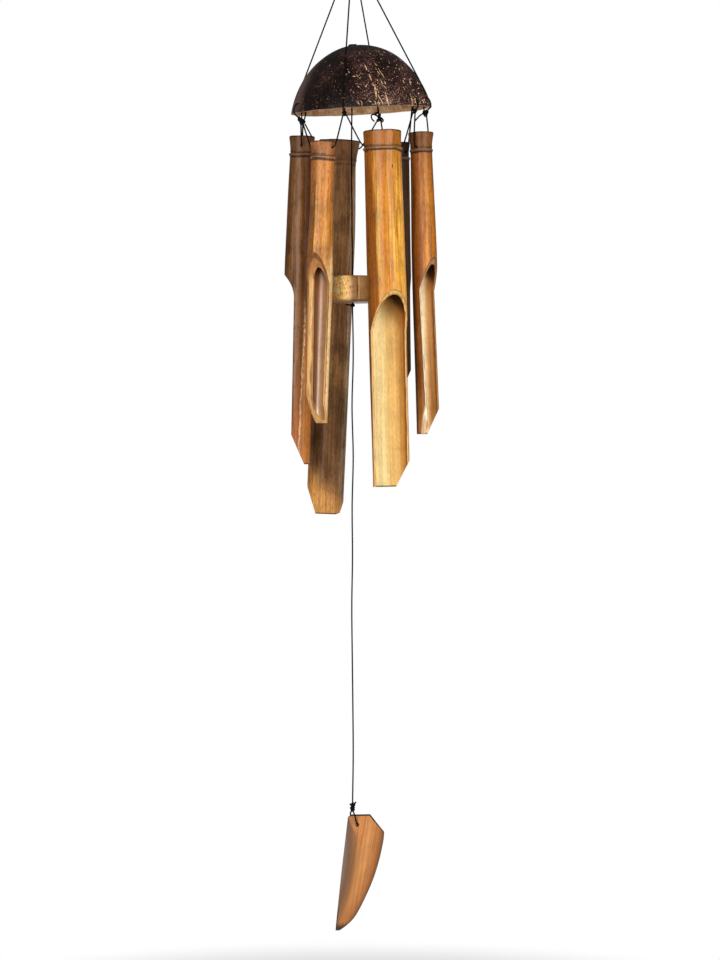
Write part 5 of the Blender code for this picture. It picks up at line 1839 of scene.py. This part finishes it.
class CHIME_OT_sail(bpy.types.Operator):
    """Cuts the curved wind sail from split bamboo"""

    bl_idname = "chime.sail"
    bl_label = "Wind sail"

    SCORCH = 0.0010
    # The corners of the outline that a smooth curve joins
    ROUNDED = (3, 12)
    BLANK_HALF_DEPTH = 0.024
    # The roll that it is bent round: its middle below the hole, its ends from there and its steps
    ROLL_DROP = 0.04
    ROLL_TOP = 0.09
    ROLL_FOOT = -0.12
    ROLL_STEPS = 180
    HOLE_PLAY = 0.0001

    def execute(self, context):
        skin = sail_skin("split_bamboo_face", "d29150", colours().sail, "aa6832", 0.42)
        edge = sail_skin("scorched_bamboo_edge", "5a3a22", linear("3c2414"), "24140a", 0.6)
        inner = sail_skin("split_bamboo_back", "c9975e", linear("b58250"), "8a5c34", 0.6)
        first, last = self.ROUNDED
        rounded = flat_curve(SAIL_OUTLINE[first:last], 0.003)
        bm = bmesh.new()
        prism(bm, [*SAIL_OUTLINE[:first], *rounded, *SAIL_OUTLINE[last:]], self.BLANK_HALF_DEPTH)
        bmesh.ops.translate(bm, verts=bm.verts, vec=SAIL_HOLE)
        sail = piece_from("sail_blade", bm, [edge])
        lean = Matrix.Rotation(math.radians(SAIL_LEAN_DEG), 4, "Y")
        axis = SAIL_HOLE + Vector((SAIL_AXIS_X, SAIL_BEND_RADIUS - SAIL_WALL / 2, -self.ROLL_DROP))
        axis.x -= self.ROLL_DROP * math.tan(math.radians(SAIL_LEAN_DEG))
        section = [(0.0, self.ROLL_TOP), (SAIL_BEND_RADIUS, self.ROLL_TOP)]
        section += [(SAIL_BEND_RADIUS, self.ROLL_FOOT), (0.0, self.ROLL_FOOT)]
        outside = cutter(Matrix.Translation(axis) @ lean, skin, turned, section, self.ROLL_STEPS)
        axis.y += SAIL_WALL
        hollow = cutter(Matrix.Translation(axis) @ lean, inner, turned, section, self.ROLL_STEPS)
        across = Matrix.Translation(SAIL_HOLE) @ Matrix.Rotation(math.pi / 2, 4, "Z")
        hole = cutter(across, edge, drill, cord_radius() + self.HOLE_PLAY, 4 * SAIL_WALL)
        carve(sail, [hollow, hole], within=outside)
        self.scorch(sail, skin, edge)
        soften(sail, sizes().edge_round)
        dress(sail, "sail", "sail_bamboo", "wind_sail")
        return {"FINISHED"}

    def scorch(self, sail, skin, edge):
        """A narrow dark border round the front of the sail, apart from its planed left side."""
        names = [material.name for material in sail.data.materials]
        bm = bmesh.new()
        bm.from_mesh(sail.data)
        bmesh.ops.remove_doubles(bm, verts=bm.verts, dist=SLIVER)
        seen = [face for face in bm.faces if face.material_index == names.index(skin.name)]
        border = bmesh.ops.inset_region(
            bm, faces=seen, thickness=self.SCORCH, use_boundary=True, use_even_offset=True
        )["faces"]
        left = SAIL_HOLE + SAIL_RIDGE_CENTRE
        for face in border:
            middle = face.calc_center_median()
            middle.y = 0.0
            if (middle - left).length > SAIL_RIDGE_RADIUS - 0.004:
                face.material_index = names.index(edge.name)
        bm.to_mesh(sail.data)
        bm.free()


class CHIME_PT_panel(bpy.types.Panel):
    """The chime's pieces, in the order that they are made"""

    bl_idname = "CHIME_PT_panel"
    bl_label = "Bamboo Wind Chime"
    bl_space_type = "VIEW_3D"
    bl_region_type = "UI"
    bl_category = "Chime"

    def draw(self, context):
        for group in (context.scene.chime_sizes, context.scene.chime_colours, context.scene.chime_lights):
            box = self.layout.box()
            for name in group.__annotations__:
                box.prop(group, name)
        for operator in OPERATORS:
            self.layout.operator(operator.bl_idname)


OPERATORS = (
    CHIME_OT_stage,
    CHIME_OT_hanger,
    CHIME_OT_suspension,
    CHIME_OT_tube_cords,
    CHIME_OT_centre_lines,
    CHIME_OT_shell,
    CHIME_OT_tubes,
    CHIME_OT_clapper,
    CHIME_OT_sail,
)
CLASSES = (ChimeSizes, ChimeColours, ChimeLights, *OPERATORS, CHIME_PT_panel)


def register():
    for kind in CLASSES:
        bpy.utils.register_class(kind)
    bpy.types.Scene.chime_sizes = PointerProperty(type=ChimeSizes)
    bpy.types.Scene.chime_colours = PointerProperty(type=ChimeColours)
    bpy.types.Scene.chime_lights = PointerProperty(type=ChimeLights)


def unregister():
    del bpy.types.Scene.chime_lights
    del bpy.types.Scene.chime_colours
    del bpy.types.Scene.chime_sizes
    for kind in reversed(CLASSES):
        bpy.utils.unregister_class(kind)


def main():
    register()
    bpy.ops.chime.stage()
    bpy.ops.chime.hanger()
    bpy.ops.chime.suspension()
    bpy.ops.chime.tube_cords()
    bpy.ops.chime.centre_lines()
    bpy.ops.chime.shell()
    bpy.ops.chime.tubes()
    bpy.ops.chime.clapper()
    bpy.ops.chime.sail()


if __name__ == "__main__":
    main()
